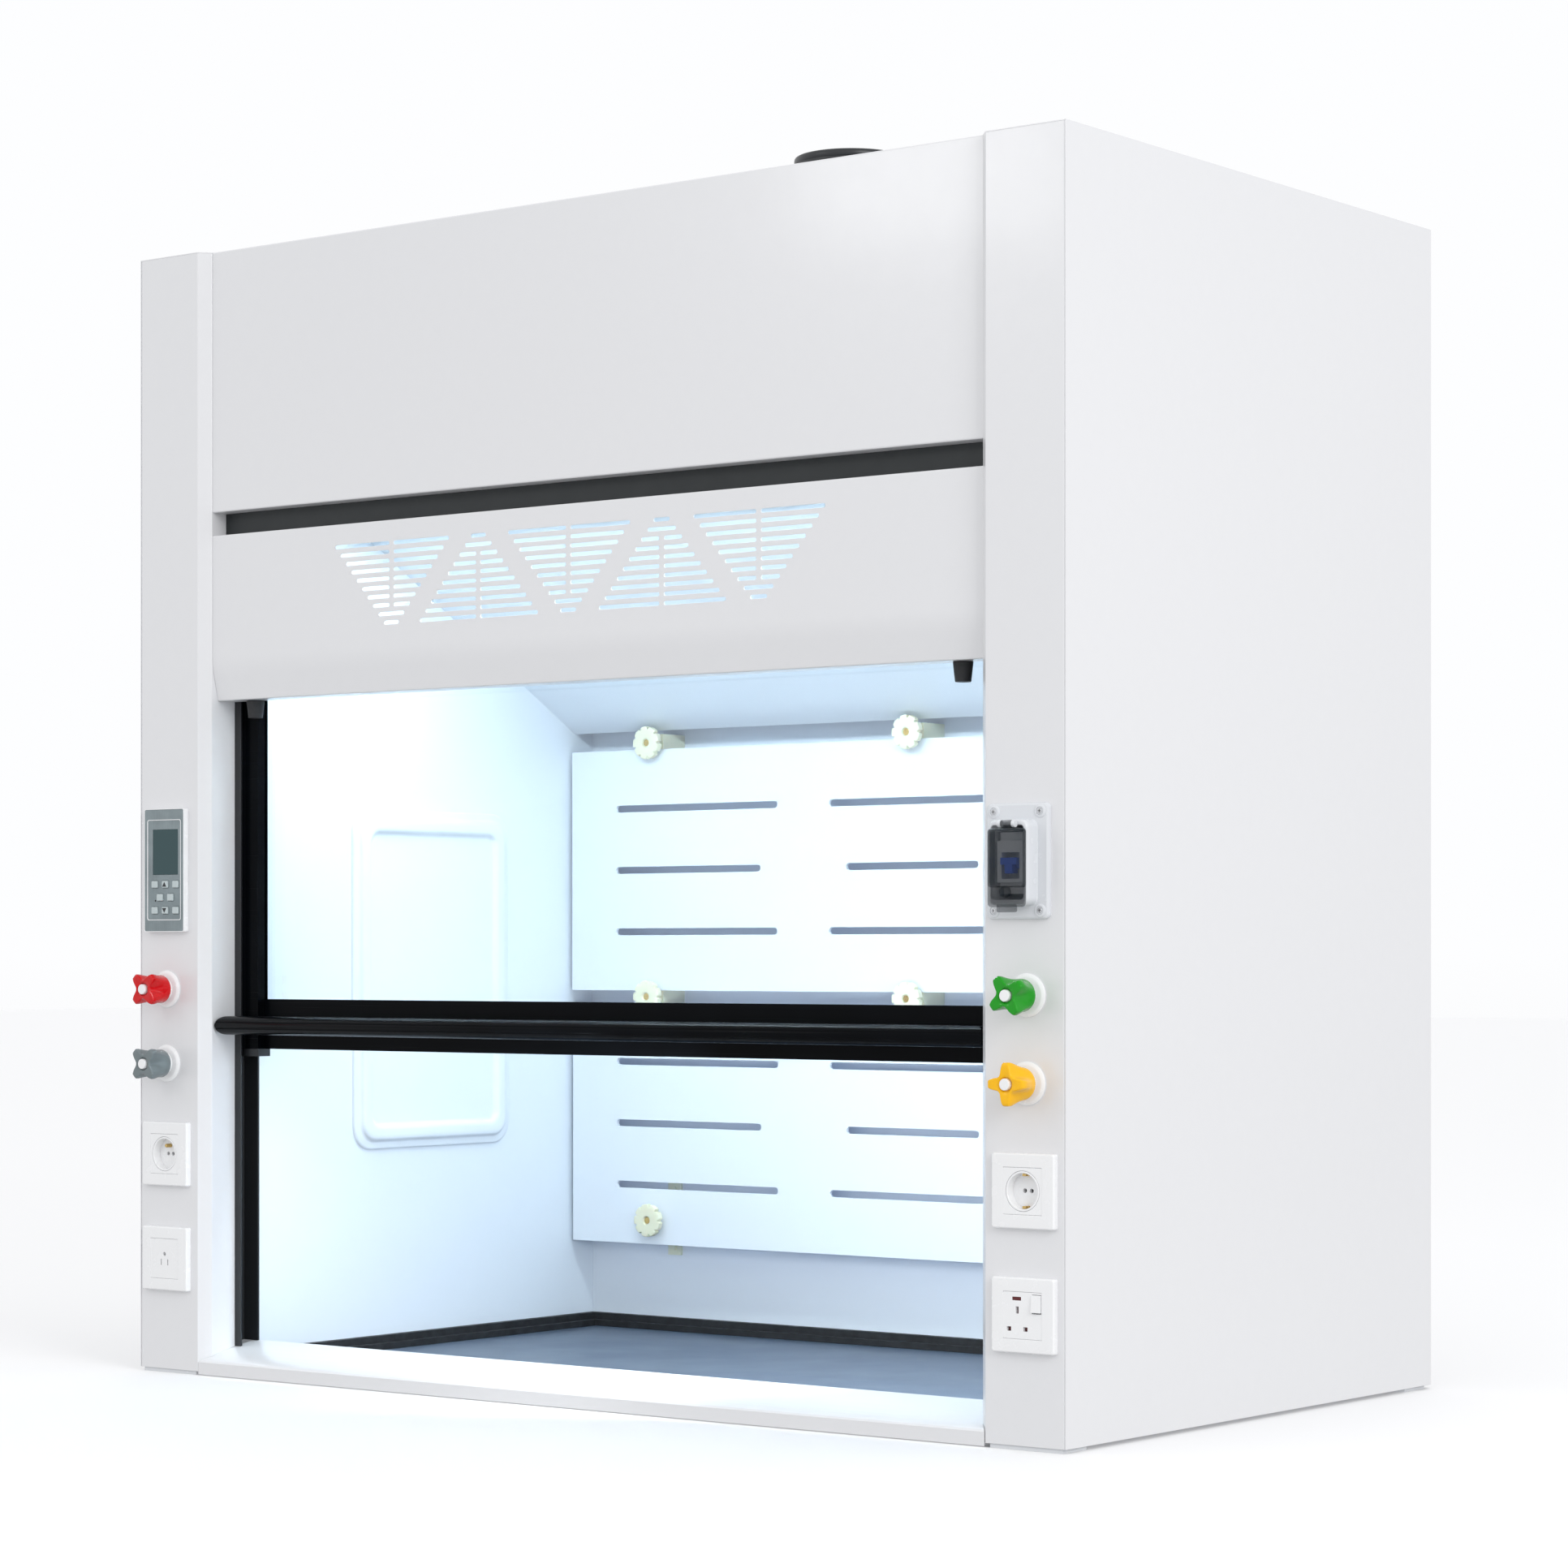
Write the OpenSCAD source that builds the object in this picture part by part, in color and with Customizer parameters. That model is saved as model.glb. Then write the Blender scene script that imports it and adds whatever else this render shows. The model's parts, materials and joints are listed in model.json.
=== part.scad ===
// Bench-top fume hood: steel cabinet, lifting glass sash on counterweights,
// slotted rear baffles, worktop, exhaust collar, service valves, sockets and controls.
// Millimetres. +Z up, +X to the right seen from the front, the front faces -Y.
// The origin is on the ground, at the middle of the cabinet's footprint.

/* [Cabinet] */
// Overall width
body_w = 1500; // [1440:10:1560]
// Overall depth, front posts to back panel
body_d = 860; // [840:10:900]
// Height of the panels above the pads
body_h = 1500; // [1480:10:1560]
// Thickness of the rubber pads
pad_h = 5; // [4:1:6]
// Steel sheet thickness
sheet = 1.5; // [1.2:0.1:2]
// Half of the clear width between the posts
open_x = 627; // [600:1:640]

/* [Front] */
// How far the header and bypass panels sit behind the posts
recess = 15; // [12:1:18]
// Height of the header's lower edge
header_z = 1156; // [1150:1:1165]
// Height of the bypass panel's upper edge
bypass_top = 1125; // [1120:1:1130]
// Height of the bypass panel's lower edge
bypass_bottom = 904; // [900:1:910]
// Height of the lowest row of bypass slots
vent_z = 992.5; // [990:0.5:996]
// Distance between rows of bypass slots
vent_pitch = 11.4; // [11:0.1:11.6]
// Height of one bypass slot
vent_h = 5; // [4:0.5:6]

/* [Sash] */
// Height of the sash rail's lower edge at rest, about half open
sash_z = 436.5; // [430:0.5:440]
// Height of the sash above its lower edge
sash_h = 877; // [870:1:885]
// Height of the bottom rail
rail_h = 67; // [64:1:70]
// Height of the handle
handle_h = 25; // [22:1:26]
// Radius of the cable's path over a pulley
pulley_r = 42; // [40:1:44]
// Height of each counterweight
weight_h = 330; // [300:5:340]

/* [Inside] */
// Height of the work surface
worktop_h = 10; // [8:1:12]
// Height of one rear baffle
baffle_h = 353; // [345:1:355]
// Distance of the baffles behind the front
baffle_y = 750; // [745:1:755]
// Distance of the back liner behind the front
back_y = 805; // [800:1:810]
// Radius of a baffle knob
knob_r = 24; // [22:1:26]

/* [Roof] */
// Outer radius of the exhaust collar
collar_r = 75; // [70:1:80]
// Height of the exhaust collar above the roof
collar_h = 143; // [120:1:160]
// Distance of the collar's axis behind the front
collar_y = 606; // [590:1:620]

/* [Services] */
// Distance of the valve knobs from the middle
valve_x = 698; // [696:1:700]
// Heights of the upper and lower valve knobs
valve_z = [517, 417];
// Radius over the lobes of a valve knob
star_r = 25; // [24:0.5:26]
// Side of a socket plate
plate_w = 86; // [84:1:88]
// Heights of the upper and lower sockets
socket_z = [295, 154];

/* [Hidden] */
$fn = 64;
half = body_w / 2;
top_z = pad_h + body_h;
roof_z = top_z - sheet;
side_x = half - sheet;
bevel_x = open_x + 13;
strip_y = recess + 25;
track_front = 57;
track_t = 2.8;
track_in = [track_front + track_t + 0.2, 89.5];
track_web = 645;
track_lip = 616;
stile_in = 593;
stile_out = 631;
guide_in = 617;
sash_y = [61.5, 88];
stile_y = [66, 87.5];
rail_y = [77.5, 88];
glass_y = [80, 85];
shoe_h = 10;
cable_x = 655;
cable_r = 1.5;
shaft_z = 1440;
shaft_y = 75 + pulley_r;
weight_z = 440;
arm_z = sash_z + 530;
sill_front = 17.5;
sill_back = 41.5;
sill_d = 95;
liner_t = 2.5;
ceiling_y = 135;
ceiling_z = 1152;
ceiling_bend = 308;
ceiling_end = [765, 892];
baffle_mid = [687.5, 316];
baffle_t = 5;
socket_x = 696;
case_x = -695.5;
key_x = -693.3;
breaker_x = 687.5;
breaker_z = 669.5;
hinge_y = -31;
hinge_z = 711;

white = [0.90, 0.91, 0.93];
grey_white = [0.80, 0.82, 0.84];
black = [0.04, 0.045, 0.05];
slate = [0.30, 0.36, 0.44];
ivory = [0.91, 0.89, 0.76];
steel = [0.62, 0.63, 0.65];
lead = [0.35, 0.36, 0.38];
teal = [0.36, 0.47, 0.47];

// ---- helpers ----

// Moves from the front's own frame, y behind the posts' faces, to the row frame.
module place() {
    translate([0, -body_d / 2, 0]) children();
}

module pair() {
    children();
    mirror([1, 0, 0]) children();
}

// A box between two corners.
module span(a, b) {
    translate(a) cube(b - a);
}

function unit(v) = v / norm(v);
function turn(a, b) = let (d = unit(b - a)) [-d[1], d[0]];
function mitre(p, i, t) =
    i == 0 ? p[0] + t * turn(p[0], p[1]) :
    i == len(p) - 1 ? p[i] + t * turn(p[i - 1], p[i]) :
    let (m = turn(p[i - 1], p[i]) + turn(p[i], p[i + 1])) p[i] + t * 2 * m / (m * m);
// The closed section of a sheet that follows a path, its thickness to the left of the path.
function sheet_section(p, t) = concat(p, [for (i = [len(p) - 1:-1:0]) mitre(p, i, t)]);

// A bent sheet whose path is given as [y, z], between two values of x.
module fold_x(p, t, x0, x1) {
    translate([x0, 0, 0]) rotate([90, 0, 90]) linear_extrude(x1 - x0) polygon(sheet_section(p, t));
}

// A solid profile given as [y, z] points, between two values of x.
module profile_x(p, x0, x1) {
    translate([x0, 0, 0]) rotate([90, 0, 90]) linear_extrude(x1 - x0) polygon(p);
}

// A flat shape drawn as [x, z], between two values of y.
module slab_y(y0, y1) {
    translate([0, y1, 0]) rotate([90, 0, 0]) linear_extrude(y1 - y0) children();
}

// A round rod along Y.
module rod_y(x, z, r, y0, y1) {
    translate([x, y0, z]) rotate([-90, 0, 0]) cylinder(r = r, h = y1 - y0);
}

// A round rod along X.
module rod_x(y, z, r, x0, x1) {
    translate([x0, y, z]) rotate([0, 90, 0]) cylinder(r = r, h = x1 - x0);
}

// A flat rectangle about the origin with round corners.
module rounded(w, h, r) {
    square([w - 2 * r, h], center = true);
    square([w, h - 2 * r], center = true);
    for (sx = [-1, 1], sy = [-1, 1]) {
        translate([sx * (w / 2 - r), sy * (h / 2 - r)]) circle(r = r);
    }
}

// A flat slot with round ends, from x0 to x1.
module slot(x0, x1, z, h) {
    translate([x0 + h / 2, z - h / 2]) square([x1 - x0 - h, h]);
    for (x = [x0 + h / 2, x1 - h / 2]) {
        translate([x, z]) circle(d = h, $fn = 24);
    }
}

// ---- cabinet ----

// Holes of the right-hand post, drawn as [x, z]; the left one has its own large hole.
module post_holes(left) {
    for (z = socket_z) {
        translate([socket_x, z]) square(64, center = true);
    }
    for (z = valve_z) {
        translate([valve_x, z]) circle(r = 10.5);
    }
    if (left) {
        translate([-case_x, 677]) square([62, 140], center = true);
    } else {
        translate([breaker_x, 667.5]) square([52, 92], center = true);
    }
}

module post(left) {
    path = [
        [open_x, track_front - 0.3], [open_x, 14], [bevel_x, 0],
        [side_x - 0.1, 0], [side_x - 0.1, 30]
    ];
    difference() {
        translate([0, 0, pad_h]) linear_extrude(roof_z - pad_h) polygon(sheet_section(path, sheet));
        slab_y(-1, 4) post_holes(left);
    }
}

module post_left() {
    color(white) place() mirror([1, 0, 0]) post(true);
}

module post_right() {
    color(white) place() post(false);
}

module side_panels() {
    color(white) place() pair() {
        span([side_x, 0, pad_h], [half, body_d, top_z]);
        span([side_x - 25, 31, pad_h], [side_x, body_d - 30, pad_h + sheet]);
    }
}

module back_panel() {
    color(white) place() difference() {
        span([-side_x + 0.1, body_d - sheet, pad_h], [side_x - 0.1, body_d, roof_z - 0.1]);
        back_screws() rod_y(0, 0, 2.1, body_d - 5, body_d + 1);
    }
}

// Places of the screws in the back panel.
module back_screws() {
    for (x = [-1, 1], i = [0:4]) {
        translate([x * (half - 18), 0, 80 + i * 335]) children();
    }
}

// Places of the screws in the roof.
module roof_screws() {
    for (x = [-1, 1], y = [150, 480, 810]) {
        translate([x * (half - 18), y, 0]) children();
    }
}

module roof_panel() {
    color(white) place() difference() {
        span([-side_x + 0.1, 0, roof_z], [side_x - 0.1, body_d, top_z]);
        translate([0, 0, roof_z - 1]) linear_extrude(5) polygon([
            [-649, 57], [-649, 100], [649, 100], [649, 57], [open_x, 57], [open_x, 14],
            [bevel_x + 1, -1], [-bevel_x - 1, -1], [-open_x, 14], [-open_x, 57]
        ]);
        translate([0, collar_y, roof_z - 1]) cylinder(r = collar_r - 4, h = 5);
        roof_screws() translate([0, 0, roof_z - 1]) cylinder(r = 2.1, h = 5);
    }
}

module exhaust_collar() {
    wall = 4;
    color(black) place() translate([0, collar_y, top_z]) rotate_extrude($fn = 96) polygon([
        [collar_r - wall, 0], [collar_r + 22, 0], [collar_r + 22, 5], [collar_r, 5],
        [collar_r, collar_h - 9], [collar_r + 2, collar_h - 8], [collar_r + 2, collar_h],
        [collar_r - wall, collar_h]
    ]);
}

module header_panel() {
    w = open_x - 0.3;
    color(white) place() fold_x(
        [[52, top_z], [recess, top_z], [recess, header_z], [strip_y - 0.3, header_z]],
        sheet, -w, w
    );
}

// Bypass slots: triangles of short slots, pointing down and up in turn, with a middle rib.
module vents() {
    rows = 10;
    for (k = [0:4], i = [0:rows - 1]) {
        middle = (k - 2) * 150;
        // Row 0 is the widest row of its triangle.
        wide = 100 - i * 9.7;
        z = vent_z + vent_pitch * (k % 2 == 0 ? rows - 1 - i : i);
        if (i < 8) {
            slot(middle - wide, middle - 3.6, z, vent_h);
            slot(middle + 3.6, middle + wide, z, vent_h);
        } else {
            slot(middle - wide, middle + wide, z, vent_h);
        }
    }
}

module bypass_panel() {
    w = open_x - 0.3;
    bend_r = 120;
    tilt = atan(10 / 46);
    bend_z = 950 + bend_r * tan(tilt / 2);
    bend = [for (a = [0:tilt / 4:tilt + 0.01])
        [recess + bend_r * (1 - cos(a)), bend_z - bend_r * sin(a)]];
    path = concat(
        [[strip_y - 0.3, bypass_top], [recess, bypass_top]],
        bend,
        [[25, bypass_bottom], [56.5, bypass_bottom]]
    );
    color(white) place() difference() {
        fold_x(path, sheet, -w, w);
        slab_y(recess - 2, recess + 4) vents();
    }
}

module bypass_strip() {
    color(black) place() span(
        [-open_x + 0.3, strip_y, bypass_top - 14], [open_x - 0.3, strip_y + 2, header_z + 14]
    );
}

module ceiling_panel() {
    w = open_x - 0.1;
    color(white) place() difference() {
        fold_x(
            [ceiling_end, [ceiling_bend, ceiling_z], [ceiling_y, ceiling_z],
             [ceiling_y, roof_z - 0.1]],
            -2.5, -w, w
        );
        span([-560, 160, ceiling_z - 5], [560, 290, ceiling_z + 10]);
    }
}

module side_liners() {
    color(white) place() pair() difference() {
        span([open_x, track_in[1] + track_t, 0.5], [open_x + liner_t, back_y, roof_z - 0.1]);
        rod_x(shaft_y, shaft_z, 9, open_x - 5, open_x + 10);
    }
}

module liner_back() {
    w = open_x + liner_t;
    color(white) place() span([-w, back_y, 0.5], [w, back_y + liner_t, roof_z - 0.1]);
}

module access_panels() {
    color(white) place() pair() translate([open_x, 448, 529]) rotate([90, 0, -90]) difference() {
        union() {
            linear_extrude(5) rounded(326, 478, 34);
            linear_extrude(11) rounded(302, 454, 28);
        }
        translate([0, 0, 4]) linear_extrude(20) rounded(254, 410, 16);
    }
}

// Slots of one baffle about its middle: three rows, the middle row shorter.
module baffle_slots(z) {
    for (row = [-1, 0, 1]) {
        inner = row == 0 ? 266 : 235.5;
        middle = row == 0 ? 113 : 143;
        for (s = [-1, 1]) {
            slot(min(s * inner, s * 534.5), max(s * inner, s * 534.5), z + row * 90.4, 10);
        }
        slot(-middle, middle, z + row * 90.4, 10);
    }
}

module baffle(z) {
    translate([-620, z - baffle_h / 2]) square([1240, baffle_h]);
}

module baffle_upper() {
    color(white) place() slab_y(baffle_y, baffle_y + baffle_t) difference() {
        baffle(baffle_mid[0]);
        baffle_slots(baffle_mid[0]);
    }
}

module baffle_lower() {
    color(white) place() slab_y(baffle_y, baffle_y + baffle_t) difference() {
        baffle(baffle_mid[1]);
        baffle_slots(baffle_mid[1]);
        for (x = [-467, 467]) {
            translate([x, 175]) circle(r = 6);
        }
    }
}

// Places of the baffles' knobs and standoffs.
module baffle_points() {
    for (x = [-467, 0, 467], z = [873, 502]) {
        translate([x, 0, z]) children();
    }
    for (x = [-467, 467]) {
        translate([x, 0, 175]) children();
    }
}

module baffle_standoffs() {
    color(ivory) place() {
        baffle_points() {
            span([-18, baffle_y + baffle_t, -13], [18, back_y, 13]);
            rod_y(0, 0, 5, baffle_y - 12, baffle_y + baffle_t + 1);
        }
        for (x = [-467, 467]) {
            span([x - 12, back_y - 4, 121], [x + 12, back_y, 229]);
            for (z = [132, 218]) {
                rod_y(x, z, 4, back_y - 7, back_y - 3);
            }
        }
    }
}

module baffle_knobs() {
    lobes = 9;
    color(ivory) place() baffle_points() difference() {
        union() {
            rod_y(0, 0, knob_r, baffle_y - 15, baffle_y - 3);
            rod_y(0, 0, 14, baffle_y - 4, baffle_y);
        }
        rod_y(0, 0, 5.05, baffle_y - 20, baffle_y + 1);
        for (i = [0:lobes - 1]) {
            a = 360 * i / lobes;
            rod_y((knob_r + 1) * cos(a), (knob_r + 1) * sin(a), 4.5, baffle_y - 20, baffle_y - 2.5);
        }
    }
}

// ---- worktop and sill ----

module worktop() {
    color(slate) place() span(
        [-open_x + 0.5, sill_d + 1, 0], [open_x - 0.5, back_y - 0.5, worktop_h]
    );
}

module worktop_rim() {
    module ring(inset, z0, z1) {
        x = open_x - 0.5;
        y = back_y - 0.5;
        difference() {
            span([-x, sill_d + 1, z0], [x, y, z1]);
            span([-x + inset, sill_d - 5, z0 - 1], [x - inset, y - inset, z1 + 1]);
        }
    }
    color(black) place() {
        ring(20, worktop_h, worktop_h + 9);
        ring(11, worktop_h + 8, worktop_h + 19);
    }
}

function sill_z(y) = sill_front + (sill_back - sill_front) * pow(y / sill_d, 0.6);
sill_top = [for (y = [0, 2, 5, 10, 18, 30, 45, 60, 78, sill_d]) [y, sill_z(y)]];

module sill() {
    path = concat([[sill_d, 1.5]], [for (i = [len(sill_top) - 1:-1:0]) sill_top[i]], [[0, 1], [22, 1]]);
    color(white) place() intersection() {
        fold_x(path, 2, -bevel_x, bevel_x);
        translate([0, 0, -1]) linear_extrude(60) polygon([
            [-bevel_x + 0.6, -1], [bevel_x - 0.6, -1], [open_x - 0.4, 14], [open_x - 0.4, 120],
            [-open_x + 0.4, 120], [-open_x + 0.4, 14]
        ]);
    }
}

// ---- sash guides ----

module sash_tracks() {
    top = 1385;
    color(black) place() pair() difference() {
        union() {
            span([track_lip, track_front, 33], [track_web, track_front + track_t, top]);
            span([track_lip, track_in[1], 33], [track_web, track_in[1] + track_t, top]);
            span([track_web - 2, track_front, 33], [track_web, track_in[1] + track_t, top]);
        }
        span([track_web - 5, 68, 560], [track_web + 5, 82, top + 1]);
        profile_x(
            concat([[0, 0], [sill_d + 20, 0], [sill_d + 20, sill_back + 0.3]],
                [for (i = [len(sill_top) - 1:-1:0]) sill_top[i] + [0, 0.3]]),
            track_lip - 5, track_web + 5
        );
    }
}

module sash_bumpers() {
    color(black) place() pair() {
        translate([577, 46, bypass_bottom - 24]) cylinder(r1 = 9.5, r2 = 12, h = 24);
    }
}

module pulley_brackets() {
    color(steel) place() pair() difference() {
        union() {
            span([open_x + liner_t, 97, 1392], [open_x + liner_t + 4, 170, 1488]);
            span([664, 97, 1392], [668, 170, 1488]);
            span([open_x + liner_t, 166, 1392], [668, 170, 1488]);
        }
        rod_x(shaft_y, shaft_z, 7.05, open_x, 680);
    }
}

// Two grooved wheels fixed on one cross shaft, which keeps the sash level.
module pulley_shaft() {
    r = pulley_r;
    color(steel) place() {
        pair() translate([cable_x - 6, shaft_y, shaft_z]) rotate([0, 90, 0]) rotate_extrude() polygon([
            [6, 0], [r + 4, 0], [r + 4, 2], [r - 1.6, 4.4], [r - 1.6, 7.6], [r + 4, 10],
            [r + 4, 12], [6, 12]
        ]);
        rod_x(shaft_y, shaft_z, 7, -672, 672);
    }
}

// The lift cables' runs from the sash arms up to the pulleys.
module cable_front() {
    color(steel) place() pair() translate([cable_x, shaft_y - pulley_r, arm_z + 10]) {
        cylinder(r = cable_r, h = shaft_z - arm_z - 10, $fn = 24);
    }
}

// The lift cables' runs over the pulleys and down to the counterweights.
module cable_back() {
    color(steel) place() pair() {
        translate([cable_x, shaft_y + pulley_r, weight_z + weight_h + 14]) {
            cylinder(r = cable_r, h = shaft_z - weight_z - weight_h - 14, $fn = 24);
        }
        translate([cable_x, shaft_y, shaft_z]) rotate([90, 0, 90]) {
            rotate_extrude(angle = 180) translate([pulley_r, 0]) circle(r = cable_r, $fn = 24);
        }
    }
}

module counterweights() {
    y = shaft_y + pulley_r;
    color(lead) place() pair() {
        span([cable_x - 23, y - 40, weight_z], [cable_x + 23, y + 40, weight_z + weight_h]);
        translate([cable_x, y, weight_z + weight_h - 1]) cylinder(r = 7, h = 15);
    }
}

// ---- sash ----

module sash_glass() {
    color([0.82, 0.93, 0.95, 0.3]) place() span(
        [-stile_in - 6, glass_y[0], sash_z + rail_h - 14],
        [stile_in + 6, glass_y[1], sash_z + sash_h - 10]
    );
}

// Hollow stiles, thicker at the outer edge where they run in the tracks.
module sash_stiles() {
    wall = 2.5;
    color(black) place() pair() translate([0, 0, sash_z]) linear_extrude(sash_h) difference() {
        polygon([
            [stile_out, sash_y[0]], [stile_out, sash_y[1]], [guide_in, sash_y[1]],
            [guide_in, stile_y[1]], [stile_in, stile_y[1]], [stile_in, stile_y[0]],
            [guide_in, stile_y[0]], [guide_in, sash_y[0]]
        ]);
        translate([stile_in - 1, glass_y[0] - 0.2]) square([8, 5.4]);
        translate([stile_in + 9, stile_y[0] + wall]) {
            square([stile_out - stile_in - 9 - wall, stile_y[1] - stile_y[0] - 2 * wall]);
        }
    }
}

module sash_top_rail() {
    x = stile_in - 0.2;
    z = sash_z + sash_h;
    color(black) place() difference() {
        span([-x, rail_y[0], z - 25], [x, rail_y[1], z]);
        span([-x - 1, glass_y[0] - 0.2, z - 26], [x + 1, glass_y[1] + 0.2, z - 9.8]);
    }
}

module sash_bottom_rail() {
    x = stile_in - 0.2;
    z = sash_z;
    color(black) place() difference() {
        span([-x, rail_y[0], z], [x, rail_y[1], z + rail_h]);
        span([-x - 1, glass_y[0] - 0.2, z + rail_h - 14.2], [x + 1, glass_y[1] + 0.2, z + rail_h + 1]);
        span([-x - 1, glass_y[0], z + 2.5], [x + 1, glass_y[1] + 0.5, z + rail_h - 18]);
    }
}

module sash_handle() {
    r = handle_h / 2;
    z = sash_z + 32;
    nose = 28;
    arm = 584;
    color(black) place() difference() {
        intersection() {
            union() {
                rod_x(nose, z, r, -624, 624);
                span([-624, nose, z - r], [624, 55.5, z + r]);
                span([-arm, 50, z - r], [arm, rail_y[0], z + r]);
            }
            slab_y(0, 80) translate([0, z]) {
                square([2 * (624 - r), handle_h], center = true);
                for (s = [-1, 1]) {
                    translate([s * (624 - r), 0]) circle(r = r);
                }
            }
        }
        span([15 - arm, nose, z - r + 3], [arm - 15, rail_y[0] + 1, z + r - 3]);
        for (dz = [-4.2, 4.2]) {
            span([-630, 0, z + dz - 0.6], [630, nose - r + 1.2, z + dz + 0.6]);
        }
    }
}

// End blocks under the stiles, and the arms that reach through the tracks to the cables.
module sash_shoes() {
    color([0.07, 0.07, 0.075]) place() pair() {
        span([stile_in - 2, stile_y[0], sash_z - shoe_h], [stile_out, stile_y[1], sash_z]);
        difference() {
            span([stile_out, 70, arm_z], [cable_x + 5, 80, arm_z + 10]);
            translate([cable_x, 75, arm_z - 1]) cylinder(r = 1, h = 5);
        }
    }
}

// ---- lamp ----

module lamp_housing() {
    color(grey_white) place() difference() {
        span([-556, 165, ceiling_z + 6], [556, 285, ceiling_z + 60]);
        span([-553, 168, ceiling_z + 5], [553, 282, ceiling_z + 57]);
    }
}

module lamp_diffuser() {
    color([1, 1, 0.98]) place() {
        span([-559.5, 160.5, ceiling_z], [559.5, 289.5, ceiling_z + 6]);
    }
}

// ---- pads and screws ----

module foot_pads() {
    color(grey_white) place() pair() {
        span([open_x + 18, 2, 0], [half - 6, 52, pad_h]);
        span([half - 60, body_d - 60, 0], [half - 6, body_d - 8, pad_h]);
    }
}

// A pan-head screw with a cross recess, its head towards +Z and its seat at z = 0.
module screw(r, depth) {
    difference() {
        union() {
            cylinder(r1 = r, r2 = r * 0.75, h = r * 0.55, $fn = 32);
            translate([0, 0, -depth]) cylinder(r = r * 0.45, h = depth + 0.1, $fn = 32);
        }
        for (a = [0, 90]) {
            rotate([0, 0, a]) translate([-r * 0.5, -r * 0.09, r * 0.25]) cube([r, r * 0.18, r]);
        }
    }
}

module panel_screws() {
    color(steel) place() {
        back_screws() translate([0, body_d, 0]) rotate([-90, 0, 0]) screw(4.5, 9);
        roof_screws() translate([0, 0, top_z]) screw(4.5, 9);
        for (x = [-31.5, 31.5], z = [-56.3, 56.3]) {
            translate([breaker_x + x, -5.5, breaker_z + z]) rotate([90, 0, 0]) screw(4, 5);
        }
    }
}

// ---- service valves ----

module valve_points() {
    pair() {
        for (z = valve_z) {
            translate([valve_x, 0, z]) children();
        }
    }
}

module valve_bodies() {
    color([0.72, 0.58, 0.30]) place() valve_points() difference() {
        union() {
            rod_y(0, 0, 10, 0, 24);
            span([-15, 22, -15], [15, 48, 15]);
            translate([0, 35, -32]) cylinder(r = 8, h = 64);
        }
        rod_y(0, 0, 4.5, -1, 14);
        translate([0, 35, -33]) cylinder(r = 5, h = 66);
    }
}

module valve_flanges() {
    color(white) place() valve_points() difference() {
        translate([0, 0, 0]) rotate([90, 0, 0]) rotate_extrude() polygon([
            [5, 0], [25, 0], [25, 2], [22, 4], [14.5, 4.5], [14.5, 10], [5, 10]
        ]);
    }
}

// A four-lobed knob on its own axis, its face towards -Y; twist turns the lobes.
module star_knob(twist) {
    lobe = 7.5;
    rotate([90, 0, 0]) {
        difference() {
            union() {
                translate([0, 0, 10.5]) cylinder(r1 = 18, r2 = 19, h = 8);
                translate([0, 0, 18.5]) cylinder(r1 = 19, r2 = 17, h = 12);
                translate([0, 0, 30.4]) linear_extrude(15.6) rotate(twist) {
                    circle(r = 15);
                    for (a = [0:90:270]) {
                        rotate(a) translate([star_r - lobe, 0]) circle(r = lobe);
                        rotate(a) translate([0, -lobe]) square([star_r - lobe, 2 * lobe]);
                    }
                }
            }
            translate([0, 0, 44.5]) cylinder(r = 7.2, h = 5);
        }
        translate([0, 0, 44.4]) cylinder(r = 6.8, h = 3.4);
        translate([0, 0, -10]) cylinder(r = 4, h = 21);
    }
}

module knob_red() {
    color([0.80, 0.04, 0.04]) place() translate([-valve_x, 0, valve_z[0]]) star_knob(45);
}

module knob_grey() {
    color([0.42, 0.47, 0.49]) place() translate([-valve_x, 0, valve_z[1]]) star_knob(45);
}

module knob_green() {
    color([0.05, 0.62, 0.12]) place() translate([valve_x, 0, valve_z[0]]) star_knob(35);
}

module knob_yellow() {
    color([0.97, 0.72, 0.02]) place() translate([valve_x, 0, valve_z[1]]) star_knob(0);
}

// ---- sockets ----

module socket_plates() {
    color(white) place() pair() {
        for (z = socket_z) {
            translate([socket_x, 0, z]) slab_y(-8, 0) difference() {
                rounded(plate_w, plate_w, 3);
                square(53.8, center = true);
            }
        }
    }
}

// The face fills the plate's window; the wider body behind it is held by the plate.
module insert_block() {
    span([-26.7, -7.6, -26.7], [26.7, 0.3, 26.7]);
    span([-30.8, 0.2, -30.8], [30.8, 24, 30.8]);
}

// A round recessed outlet with two holes.
module round_outlet() {
    difference() {
        insert_block();
        rod_y(0, 0, 20.5, -8, 4.5);
        for (x = [-4.6, 4.6]) {
            rod_y(x, 0, 2.6, 0, 20);
        }
    }
}

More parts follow.
